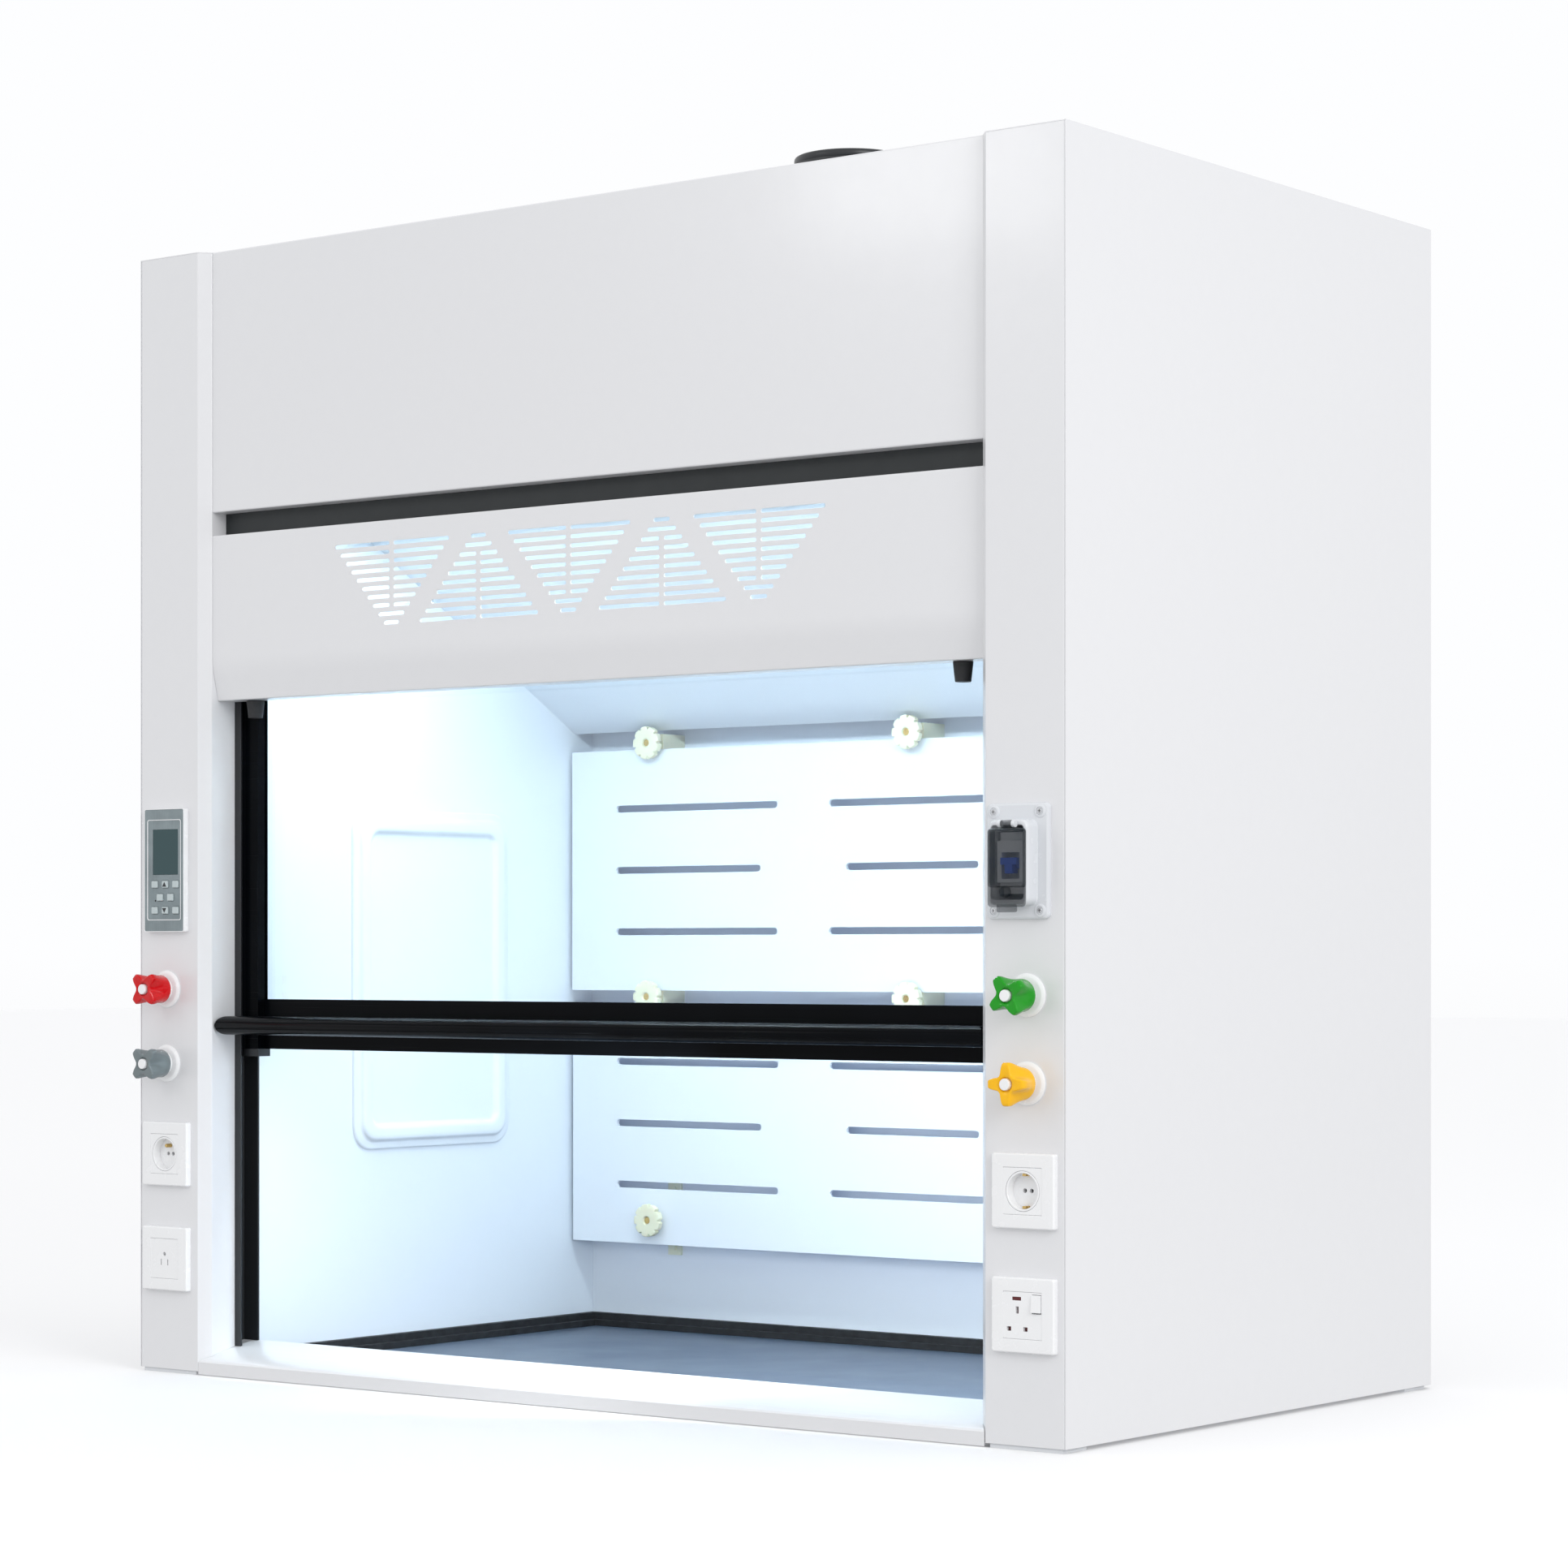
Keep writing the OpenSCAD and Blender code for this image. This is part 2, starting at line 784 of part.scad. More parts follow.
module socket_inserts() {
    color(white) place() {
        translate([-socket_x, 0, socket_z[0]]) {
            round_outlet();
            rod_y(0, 11, 2.6, -5, 7);
        }
        translate([-socket_x, 0, socket_z[1]]) difference() {
            insert_block();
            rod_y(0, 6, 2.6, -8, 12);
            for (x = [-6.3, 6.3]) {
                span([x - 1, -8, -9], [x + 1, 12, -1]);
            }
        }
        translate([socket_x, 0, socket_z[0]]) {
            round_outlet();
            for (s = [-1, 1]) {
                span([-2.5, -4, s * 18.5 - 1.5], [2.5, 7, s * 18.5 + 1.5]);
            }
        }
        translate([socket_x, 0, socket_z[1]]) difference() {
            insert_block();
            span([-14, -8, 17], [-2, -5, 21]);
            span([-9.4, -8, 2], [-5.4, 12, 10]);
            for (x = [-18.6, 3.8]) {
                span([x - 3, -8, -18], [x + 3, 12, -13]);
            }
            span([12.6, -8, 2.6], [25.4, 2, 24.4]);
        }
    }
}

rocker_y = -4;
rocker_at = [socket_x + 19, rocker_y, socket_z[1] + 13.5];

module socket_rocker() {
    color(white) place() translate(rocker_at) difference() {
        rotate([90, 0, 90]) translate([0, 0, -6]) linear_extrude(12) polygon([
            [-4.6, 9], [-5.6, 0], [-7, -9], [0, -8], [2.5, 0], [0, 8]
        ]);
    }
}

// ---- breaker ----

module breaker_enclosure() {
    color(grey_white) place() difference() {
        union() {
            translate([breaker_x, 0, breaker_z]) {
                slab_y(-4, 0) rounded(85, 132, 6);
                slab_y(-6, -3.9) rounded(81, 128, 5);
            }
            translate([687.5, 0, 667.5]) {
                slab_y(-22, -5) rounded(55, 97, 9);
                slab_y(-26, -21.9) rounded(51, 93, 8);
                slab_y(-1, 44) rounded(50, 90, 3);
            }
        }
        translate([687.5, 0, 667.5]) slab_y(-30, 42) rounded(44, 84, 4);
        for (x = [-31.5, 31.5], z = [-56.3, 56.3]) {
            rod_y(breaker_x + x, breaker_z + z, 2.1, -10, 1);
            rod_y(breaker_x + x, breaker_z + z, 5.5, -10, -5.5);
        }
    }
}

module breaker_switch() {
    color([0.78, 0.79, 0.80]) place() difference() {
        union() {
            span([670, -14, 632], [706, 42, 702]);
            span([670, -20, 645], [706, -13, 692]);
        }
        span([676, -21, 649], [700, -3, 679]);
    }
}

module breaker_toggle() {
    color([0.04, 0.14, 0.62]) place() {
        rod_x(-13, 664, 3.5, 677, 699);
        span([677, -24, 665], [699, -12, 673]);
        span([683, -24, 655], [693, -12, 667]);
    }
}

module breaker_cover() {
    color([0.10, 0.13, 0.17, 0.75]) place() {
        difference() {
            union() {
                slab_y(-43, -26.4) translate([692, 672.5]) rounded(44, 67, 4);
                slab_y(-31, -26.4) translate([689, 661.5]) rounded(50, 89, 5);
                rod_y(690, 634, 6.5, -42, -30);
                rod_x(hinge_y, hinge_z, 4.4, 684, 698);
                span([684, -33, 700], [698, -28, hinge_z]);
                span([677, -32, 611], [703, -28, 620]);
            }
            slab_y(-41, -26) translate([692, 672.5]) rounded(40, 63, 3);
        }
    }
}

// ---- controller ----

// Places of the eight keys, as [x, z], in reading order.
key_at = [
    [key_x - 20, 658], [key_x, 658], [key_x + 20, 658],
    [key_x - 10, 640.5], [key_x + 10, 640.5],
    [key_x - 20, 623], [key_x, 623], [key_x + 20, 623]
];
key_w = 11;
key_h = 9.6;

module key(i) {
    color([0.66, 0.71, 0.72]) place() translate([key_at[i][0], 0, key_at[i][1]]) {
        slab_y(-10.4, -4) rounded(key_w, key_h, 1.5);
    }
}

module controller_case() {
    color(teal) place() difference() {
        union() {
            span([-733.5, -8, 594], [-657.5, 0, 760]);
            translate([case_x, 0, 677]) span([-29, -1, -68], [29, 26, 68]);
            translate([case_x, 0, 677.5]) slab_y(-8.8, -7.9) difference() {
                rounded(64, 135, 3);
                rounded(62, 133, 2.5);
            }
        }
        for (p = key_at) {
            translate([p[0], 0, p[1]]) slab_y(-12, -2.4) rounded(key_w + 0.8, key_h + 0.8, 1.7);
        }
        span([-717.7, -9, 671], [-669.4, -6, 732]);
        rod_y(key_x - 19.4, 636, 1.4, -9, -6);
    }
}

module controller_screen() {
    color([0.08, 0.17, 0.19]) place() span([-717.6, -7.7, 671.1], [-669.5, -6, 731.9]);
}

module key_1() {
    key(0);
}

module key_up() {
    key(1);
}

module key_3() {
    key(2);
}

module key_4() {
    key(3);
}

module key_5() {
    key(4);
}

module key_6() {
    key(5);
}

module key_down() {
    key(6);
}

module key_8() {
    key(7);
}

// ---- the sub-parts ----

post_left();
post_right();
side_panels();
back_panel();
roof_panel();
exhaust_collar();
header_panel();
bypass_panel();
bypass_strip();
ceiling_panel();
side_liners();
liner_back();
access_panels();
baffle_upper();
baffle_lower();
baffle_standoffs();
baffle_knobs();
worktop();
worktop_rim();
sill();
sash_tracks();
sash_bumpers();
cable_front();
cable_back();
pulley_brackets();
lamp_housing();
lamp_diffuser();
foot_pads();
panel_screws();
sash_glass();
sash_stiles();
sash_top_rail();
sash_bottom_rail();
sash_handle();
sash_shoes();
counterweights();
pulley_shaft();
knob_red();
knob_grey();
knob_green();
knob_yellow();
valve_bodies();
valve_flanges();
socket_plates();
socket_inserts();
socket_rocker();
breaker_enclosure();
breaker_cover();
breaker_switch();
breaker_toggle();
controller_case();
controller_screen();
key_1();
key_up();
key_3();
key_4();
key_5();
key_6();
key_down();
key_8();
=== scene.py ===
"""Fume hood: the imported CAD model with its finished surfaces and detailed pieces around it.

Metres, in the model's own frame: +Z up, the front faces -Y, the origin on the ground under the middle.
"""

import json
import math

import bmesh
import bpy
from mathutils import Matrix, Vector


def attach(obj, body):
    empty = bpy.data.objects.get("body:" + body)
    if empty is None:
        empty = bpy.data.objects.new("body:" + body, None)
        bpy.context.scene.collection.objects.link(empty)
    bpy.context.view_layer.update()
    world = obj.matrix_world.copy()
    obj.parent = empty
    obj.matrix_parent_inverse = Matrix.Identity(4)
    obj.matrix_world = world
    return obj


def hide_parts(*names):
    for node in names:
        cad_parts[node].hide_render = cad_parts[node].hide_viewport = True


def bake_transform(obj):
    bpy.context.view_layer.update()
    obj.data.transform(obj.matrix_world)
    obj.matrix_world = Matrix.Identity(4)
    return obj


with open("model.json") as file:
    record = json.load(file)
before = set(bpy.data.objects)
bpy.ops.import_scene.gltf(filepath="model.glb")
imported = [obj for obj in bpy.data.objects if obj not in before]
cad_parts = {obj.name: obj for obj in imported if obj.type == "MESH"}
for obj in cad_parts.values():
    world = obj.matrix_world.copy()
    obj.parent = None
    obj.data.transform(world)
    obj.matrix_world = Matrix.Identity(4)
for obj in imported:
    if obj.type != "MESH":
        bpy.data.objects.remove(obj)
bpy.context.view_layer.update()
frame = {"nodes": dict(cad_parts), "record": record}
nodes = frame["nodes"]
scene = bpy.context.scene

MM = 0.001
TAU = 2 * math.pi


# ---- materials ----

class Paint:
    """A principled material whose nodes are added one call at a time."""

    def __init__(self, name, color, roughness=0.5, **fixed):
        self.material = bpy.data.materials.new(name)
        self.material.use_nodes = True
        self.tree = self.material.node_tree
        self.shader = self.tree.nodes["Principled BSDF"]
        self.shader.inputs["Base Color"].default_value = (*color, 1)
        self.shader.inputs["Roughness"].default_value = roughness
        for key, value in fixed.items():
            self.shader.inputs[key.replace("_", " ")].default_value = value
        self.place = self.tree.nodes.new("ShaderNodeTexCoord").outputs["Object"]
        self.bump = None

    def noise(self, scale, detail=2.0, stretch=(1, 1, 1), rough=0.5):
        """A noise of so many features a metre, drawn out along an axis by stretch."""
        mapping = self.tree.nodes.new("ShaderNodeMapping")
        mapping.inputs["Scale"].default_value = stretch
        self.tree.links.new(self.place, mapping.inputs["Vector"])
        node = self.tree.nodes.new("ShaderNodeTexNoise")
        node.inputs["Scale"].default_value = scale
        node.inputs["Detail"].default_value = detail
        node.inputs["Roughness"].default_value = rough
        self.tree.links.new(mapping.outputs["Vector"], node.inputs["Vector"])
        return node.outputs["Fac"]

    def vary_color(self, source, low, high, start=0.35, end=0.65):
        ramp = self.tree.nodes.new("ShaderNodeValToRGB")
        ramp.color_ramp.elements[0].position = start
        ramp.color_ramp.elements[0].color = (*low, 1)
        ramp.color_ramp.elements[1].position = end
        ramp.color_ramp.elements[1].color = (*high, 1)
        self.tree.links.new(source, ramp.inputs["Fac"])
        self.tree.links.new(ramp.outputs["Color"], self.shader.inputs["Base Color"])
        return self

    def vary_roughness(self, source, low, high):
        reach = self.tree.nodes.new("ShaderNodeMapRange")
        reach.inputs["From Min"].default_value = 0.3
        reach.inputs["From Max"].default_value = 0.7
        reach.inputs["To Min"].default_value = low
        reach.inputs["To Max"].default_value = high
        self.tree.links.new(source, reach.inputs["Value"])
        self.tree.links.new(reach.outputs["Result"], self.shader.inputs["Roughness"])
        return self

    def add_bump(self, source, strength, height):
        """Relief of so many metres; a later call adds to an earlier one."""
        node = self.tree.nodes.new("ShaderNodeBump")
        node.inputs["Strength"].default_value = strength
        node.inputs["Distance"].default_value = height
        self.tree.links.new(source, node.inputs["Height"])
        if self.bump:
            self.tree.links.new(self.bump, node.inputs["Normal"])
        self.bump = node.outputs["Normal"]
        self.tree.links.new(self.bump, self.shader.inputs["Normal"])
        return self


def powder_coat(name, color, roughness=0.3, peel=0.16, coat=0.35):
    """Glossy powder coat with the fine orange-peel relief of a sprayed and baked panel."""
    paint = Paint(name, color, roughness, Coat_Weight=coat, Coat_Roughness=0.12)
    darker = [c * 0.985 for c in color]
    paint.vary_color(paint.noise(60, 2), darker, color, 0.1, 0.9)
    paint.vary_roughness(paint.noise(40, 2), roughness - 0.02, roughness + 0.03)
    paint.add_bump(paint.noise(240, 1), peel, 0.0002)
    return paint.material


def laminate(name, color):
    """Smooth satin resin board, faintly mottled."""
    paint = Paint(name, color, 0.32, Specular_IOR_Level=0.45)
    paint.vary_color(paint.noise(25, 2), [c * 0.985 for c in color], color, 0.1, 0.9)
    paint.vary_roughness(paint.noise(40, 2), 0.34, 0.4)
    paint.add_bump(paint.noise(900, 1), 0.04, 0.0001)
    return paint.material


def moulded(name, color, roughness=0.35, grain=0.05, **fixed):
    """Injection-moulded plastic with a fine spark grain."""
    paint = Paint(name, color, roughness, **fixed)
    paint.vary_color(paint.noise(30, 2), [c * 0.985 for c in color], color, 0.1, 0.9)
    paint.vary_roughness(paint.noise(60, 3), max(roughness - 0.03, 0.02), roughness + 0.03)
    paint.add_bump(paint.noise(2200, 2), grain, 0.0001)
    return paint.material


def anodised(name, color, along=(0.004, 1, 1)):
    """Satin anodised extrusion, its drawing lines along one axis."""
    paint = Paint(name, color, 0.22, Specular_IOR_Level=0.05)
    lines = paint.noise(700, 2, along)
    paint.vary_color(paint.noise(12, 3), [c * 0.8 for c in color], [c * 1.15 for c in color])
    paint.vary_roughness(lines, 0.16, 0.28)
    paint.add_bump(paint.noise(2200, 1), 0.04, 0.00005)
    return paint.material


def brushed(name, color, along=(1, 1, 0.03), roughness=0.33):
    paint = Paint(name, color, roughness, Metallic=1.0)
    lines = paint.noise(900, 2, along)
    paint.vary_color(paint.noise(40, 3), [c * 0.85 for c in color], color)
    paint.vary_roughness(lines, roughness - 0.08, roughness + 0.12)
    paint.add_bump(lines, 0.12, 0.0002)
    return paint.material


def cast_iron(name, color):
    paint = Paint(name, color, 0.6, Metallic=0.6)
    paint.vary_color(paint.noise(60, 5), [c * 0.7 for c in color], color)
    paint.vary_roughness(paint.noise(200, 3), 0.5, 0.75)
    paint.add_bump(paint.noise(600, 4), 0.4, 0.0005)
    return paint.material


def rubber(name, color):
    paint = Paint(name, color, 0.62, Specular_IOR_Level=0.35)
    paint.vary_color(paint.noise(50, 4), [c * 0.75 for c in color], [c * 1.2 for c in color])
    paint.vary_roughness(paint.noise(90, 3), 0.5, 0.7)
    paint.add_bump(paint.noise(1500, 3), 0.15, 0.0001)
    return paint.material


def epoxy_top(name, color):
    """Chemical-resistant worktop: dense, dark and satin, with a fine sparkle of filler."""
    paint = Paint(name, color, 0.35, Specular_IOR_Level=0.5)
    paint.vary_color(paint.noise(1400, 3, rough=0.8), [c * 0.82 for c in color], [c * 1.1 for c in color])
    paint.vary_roughness(paint.noise(4, 4), 0.3, 0.46)
    paint.add_bump(paint.noise(1400, 2), 0.06, 0.0002)
    return paint.material


def clear_glass(name, color):
    paint = Paint(name, color, 0.0, Transmission_Weight=1.0, IOR=1.45)
    paint.vary_roughness(paint.noise(3, 4), 0.0, 0.015)
    return paint.material


def smoked(name, color):
    paint = Paint(name, color, 0.08, Alpha=0.38, Specular_IOR_Level=0.4)
    paint.vary_color(paint.noise(40, 2), [c * 0.85 for c in color], color)
    paint.vary_roughness(paint.noise(80, 3), 0.05, 0.14)
    return paint.material


def lit_panel(name, color, strength):
    """Opal plastic with light behind it."""
    paint = Paint(name, (0.9, 0.93, 0.95), 0.4, Emission_Strength=strength)
    paint.shader.inputs["Emission Color"].default_value = (*color, 1)
    paint.add_bump(paint.noise(1600, 2), 0.1, 0.0002)
    return paint.material


WHITE = (0.755, 0.758, 0.775)
MATERIALS = {
    "white_paint": powder_coat("white_powder_coat", WHITE),
    "liner_white": laminate("liner_board", (0.76, 0.815, 0.875)),
    "white_plastic": moulded("white_moulding", (0.87, 0.875, 0.885), 0.26, 0.01),
    "black_metal": anodised("black_anodised", (0.002, 0.0028, 0.004)),
    "black_plastic": moulded("black_moulding", (0.016, 0.018, 0.021), 0.34),
    "black_rubber": rubber("black_rubber", (0.018, 0.019, 0.021)),
    "black_paint": powder_coat("black_powder_coat", (0.007, 0.011, 0.013), 0.5, 0.1, 0.05),
    "steel": brushed("brushed_steel", (0.60, 0.61, 0.63)),
    "weight_iron": cast_iron("cast_iron", (0.16, 0.17, 0.18)),
    "brass": brushed("brass", (0.66, 0.46, 0.17), (1, 0.03, 1), 0.3),
    "sash_glass": clear_glass("clear_glass", (0.97, 0.995, 1.0)),
    "slate": epoxy_top("slate_worktop", (0.085, 0.115, 0.165)),
    "ivory": moulded("ivory_moulding", (0.80, 0.79, 0.60), 0.42, 0.08, Subsurface_Weight=0.08),
    "lamp": lit_panel("lamp_diffuser", (0.80, 0.95, 1.0), 7.0),
    "grey_plastic": moulded("pale_grey_moulding", (0.70, 0.72, 0.75), 0.25, 0.03),
    "red": moulded("red_moulding", (0.60, 0.001, 0.003), 0.2, 0.01, Specular_IOR_Level=0.35),
    "grey": moulded("grey_moulding", (0.17, 0.205, 0.215), 0.2, 0.01, Specular_IOR_Level=0.35),
    "green": moulded("green_moulding", (0.003, 0.30, 0.003), 0.2, 0.01, Specular_IOR_Level=0.35),
    "yellow": moulded("yellow_moulding", (0.95, 0.50, 0.0), 0.2, 0.01, Specular_IOR_Level=0.35),
    "smoke": smoked("smoked_cover", (0.016, 0.028, 0.040)),
    "blue": moulded("blue_moulding", (0.015, 0.11, 0.70), 0.25),
    "teal": brushed("controller_face", (0.26, 0.305, 0.32), (1, 1, 0.02), 0.42),
    "screen": moulded("dark_screen", (0.014, 0.055, 0.062), 0.12, 0.0),
    "key_grey": moulded("key_grey", (0.50, 0.57, 0.58), 0.4),
}
SHUTTER_RED = moulded("shutter_red", (0.10, 0.002, 0.004), 0.35, 0.01)


def paint_node(name):
    """Gives a CAD node its finished material."""
    thing = nodes[name]
    slot = next(p["material_slot"] for p in frame["record"]["subparts"] if p["node"] == name)
    for holder in thing.material_slots:
        holder.material = MATERIALS[slot]


def round_edges(name, width=0.4, segments=2):
    """Breaks a CAD node's sharp edges, in mm, with a modifier that leaves its mesh alone."""
    thing = nodes[name]
    weld = thing.modifiers.new("weld", "WELD")
    weld.merge_threshold = 1e-5
    edge = thing.modifiers.new("edge", "BEVEL")
    edge.width = width * MM
    edge.segments = segments
    edge.limit_method = "ANGLE"
    edge.angle_limit = math.radians(30)
    edge.harden_normals = True


for name in nodes:
    paint_node(name)
    if name not in ("sash_glass", "bypass_panel"):
        round_edges(name)


# ---- mesh helpers: millimetres in the front's own frame, y behind the posts' faces ----

DEPTH = 860
BODY_OF = {n: body for body, held in frame["record"]["behaviour"]["bodies"].items() for n in held}


def at(x, y, z):
    return Vector((x, y - DEPTH / 2, z)) * MM


def circle(radius, steps=48, center=(0, 0), start=0.0):
    return [(center[0] + radius * math.cos(start + TAU * i / steps),
             center[1] + radius * math.sin(start + TAU * i / steps)) for i in range(steps)]


def rounded(w, h, radius, center=(0, 0), steps=8):
    """A rectangle with round corners, anticlockwise."""
    points = []
    for k, (sx, sy) in enumerate(((1, 1), (-1, 1), (-1, -1), (1, -1))):
        for i in range(steps + 1):
            angle = (k + i / steps) * math.pi / 2
            points.append((center[0] + sx * (w / 2 - radius) + radius * math.cos(angle),
                           center[1] + sy * (h / 2 - radius) + radius * math.sin(angle)))
    return points


def slot_outline(x0, x1, z, h, steps=8):
    """A flat slot with round ends."""
    points = []
    for center, start in ((x1 - h / 2, -math.pi / 2), (x0 + h / 2, math.pi / 2)):
        for i in range(steps + 1):
            angle = start + math.pi * i / steps
            points.append((center + h / 2 * math.cos(angle), z + h / 2 * math.sin(angle)))
    return points


def piece(name, bm, slot, *stands_for, body="cabinet", sharp=35, finish=None):
    """Makes an object of a bmesh, paints it with its slot's material or a finish, and puts it on its body.

    A body of None leaves it unattached.
    """
    bmesh.ops.remove_doubles(bm, verts=bm.verts, dist=1e-7)
    bmesh.ops.dissolve_degenerate(bm, edges=bm.edges, dist=1e-7)
    bmesh.ops.recalc_face_normals(bm, faces=bm.faces)
    mesh = bpy.data.meshes.new(name)
    bm.to_mesh(mesh)
    bm.free()
    mesh.polygons.foreach_set("use_smooth", [True] * len(mesh.polygons))
    mesh.set_sharp_from_angle(angle=math.radians(sharp))
    thing = bpy.data.objects.new(name, mesh)
    thing.data.materials.append(finish or MATERIALS[slot])
    scene.collection.objects.link(thing)
    flats = thing.modifiers.new("flats", "WEIGHTED_NORMAL")
    flats.keep_sharp = True
    if stands_for:
        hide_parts(*stands_for)
    if body:
        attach(thing, BODY_OF[stands_for[0]] if stands_for else body)
    return thing


def add_loft(bm, rings, closed=False):
    """Quads between rings of equally many points, with a cap at each end unless it closes on itself."""
    rows = [[bm.verts.new(p) for p in ring] for ring in rings]
    count = len(rows[0])
    pairs = list(zip(rows, rows[1:])) + ([(rows[-1], rows[0])] if closed else [])
    for low, high in pairs:
        for i in range(count):
            k = (i + 1) % count
            bm.faces.new((low[i], low[k], high[k], high[i]))
    if not closed:
        bm.faces.new(rows[0][::-1])
        bm.faces.new(rows[-1])


def add_lathe(bm, profile, center, axis="y", steps=64, closed=False):
    """Turns a profile of (radius, distance along the axis) round an axis through center."""
    rings = []
    for radius, along in profile:
        ring = []
        for a, b in circle(max(radius, 0.01), steps):
            offset = {"x": (along, a, b), "y": (a, along, b), "z": (a, b, along)}[axis]
            ring.append(at(*(c + o for c, o in zip(center, offset))))
        rings.append(ring)
    add_loft(bm, rings, closed)


def flat_plate(outlines, thickness, edge=0.3):
    """A bmesh of a plate with holes, its outlines as (u, v) in mm, from w = 0 to w = -thickness."""
    curve = bpy.data.curves.new("plate", "CURVE")
    curve.dimensions = "2D"
    curve.fill_mode = "BOTH"
    curve.extrude = (thickness / 2 - edge) * MM
    curve.bevel_depth = edge * MM
    curve.bevel_resolution = 2
    curve.offset = -edge * MM
    for outline in outlines:
        spline = curve.splines.new("POLY")
        spline.points.add(len(outline) - 1)
        for point, (u, v) in zip(spline.points, outline):
            point.co = (u * MM, v * MM, 0, 1)
        spline.use_cyclic_u = True
    holder = bpy.data.objects.new("plate", curve)
    scene.collection.objects.link(holder)
    bpy.context.view_layer.update()
    mesh = bpy.data.meshes.new_from_object(holder.evaluated_get(bpy.context.evaluated_depsgraph_get()))
    bm = bmesh.new()
    bm.from_mesh(mesh)
    bmesh.ops.remove_doubles(bm, verts=bm.verts, dist=2e-6)
    bmesh.ops.translate(bm, verts=bm.verts, vec=(0, 0, -thickness / 2 * MM))
    bpy.data.objects.remove(holder)
    bpy.data.curves.remove(curve)
    bpy.data.meshes.remove(mesh)
    return bm


def add_slab(bm, outlines, y0, y1, edge=0.6):
    """A plate whose outlines are [x, z], between y0 and y1."""
    flat = flat_plate(outlines, y1 - y0, edge)
    for v in flat.verts:
        v.co = Vector((v.co.x, (y0 - DEPTH / 2) * MM - v.co.z, v.co.y))
    mesh = bpy.data.meshes.new("slab")
    flat.to_mesh(mesh)
    flat.free()
    bm.from_mesh(mesh)
    bpy.data.meshes.remove(mesh)


class Fold:
    """The line that a folded sheet's outer face follows, with a round bend at each corner."""

    def __init__(self, corners, radii, steps=6):
        points = [Vector(c) for c in corners]
        self.stations = [(0.0, points[0], self.side(points[1] - points[0]))]
        for before, corner, after, radius in zip(points, points[1:], points[2:], radii):
            a, b = (corner - before).normalized(), (after - corner).normalized()
            turn = math.atan2(a.cross(b), a.dot(b))
            reach = radius * math.tan(abs(turn) / 2)
            middle = corner - a * reach + self.side(a) * math.copysign(radius, -turn)
            for i in range(steps + 1):
                normal = Matrix.Rotation(turn * i / steps, 2) @ self.side(a)
                spot = middle - normal * math.copysign(radius, -turn)
                self.add(spot, normal)
        self.add(points[-1], self.side(points[-1] - points[-2]))

    @staticmethod
    def side(along):
        """The direction that the outer face looks, to the right of the line."""
        return Vector((along.y, -along.x)).normalized()

    def add(self, spot, normal):
        run = self.stations[-1][0] + (spot - self.stations[-1][1]).length
        if run > self.stations[-1][0] + 1e-6:
            self.stations.append((run, spot, normal))

    def length(self):
        return self.stations[-1][0]

    def reach(self, axis, value):
        """How far along the line its first crossing of a coordinate's value is."""
        for (r0, p0, _), (r1, p1, _) in zip(self.stations, self.stations[1:]):
            if abs(p1[axis] - p0[axis]) > 1e-9 and 0 <= (value - p0[axis]) / (p1[axis] - p0[axis]) <= 1:
                return r0 + (r1 - r0) * (value - p0[axis]) / (p1[axis] - p0[axis])
        raise ValueError(f"the fold never reaches {value}")

    def place(self, run, depth):
        for (r0, p0, n0), (r1, p1, n1) in zip(self.stations, self.stations[1:]):
            if run <= r1 + 1e-4 or r1 == self.length():
                share = (run - r0) / (r1 - r0)
                return p0.lerp(p1, share) + n0.lerp(n1, share).normalized() * depth


def folded_sheet(outlines, fold, thickness, to_front, edge=0.3):
    """A sheet cut flat as (u, run along the fold) and bent; to_front(u, a, b) gives its [x, y, z]."""
    bm = flat_plate(outlines, thickness, edge)
    for run, _, _ in fold.stations[1:-1]:
        everything = bm.verts[:] + bm.edges[:] + bm.faces[:]
        bmesh.ops.bisect_plane(bm, geom=everything, plane_co=(0, run * MM, 0), plane_no=(0, 1, 0), dist=1e-7)
    for v in bm.verts:
        a, b = fold.place(v.co.y / MM, v.co.z / MM)
        v.co = at(*to_front(v.co.x / MM, a, b))
    return bm


# ---- cabinet ----

OPEN_X = 627
BEVEL_X = 640
TOP_Z = 1505
ROOF_Z = 1503.5
RECESS = 15
BAYS = ((698, 517), (698, 417))
SOCKETS = ((696, 295), (696, 154))


def square(center, side):
    return rounded(side, side, 1, center, 2)


def posts():
    """Corner posts, folded round the opening's bevelled edge."""
    for name, hand in (("post_left", -1), ("post_right", 1)):
        corners = [(OPEN_X, 56.7), (OPEN_X, 14), (BEVEL_X, 0), (748.4, 0), (748.4, 30)]
        fold = Fold(corners, (2.2, 2.2, 2))
        z0, z1 = 5, ROOF_Z
        cuts = [(z0, 0), (z1, 0), (z1, fold.length()), (z0, fold.length())]
        holes = [[(z, fold.reach(0, x)) for x, z in square(center, 64)] for center in SOCKETS]
        holes += [[(z, fold.reach(0, x)) for x, z in circle(10.5, 32, center)] for center in BAYS]
        big = rounded(62, 140, 2, (695.5, 677), 2) if hand < 0 else rounded(52, 92, 2, (687.5, 667.5), 2)
        holes.append([(z, fold.reach(0, x)) for x, z in big])
        bm = folded_sheet([cuts] + holes, fold, 1.5, lambda u, a, b: (hand * a, b, u))
        piece(name + "_sheet", bm, "white_paint", name)


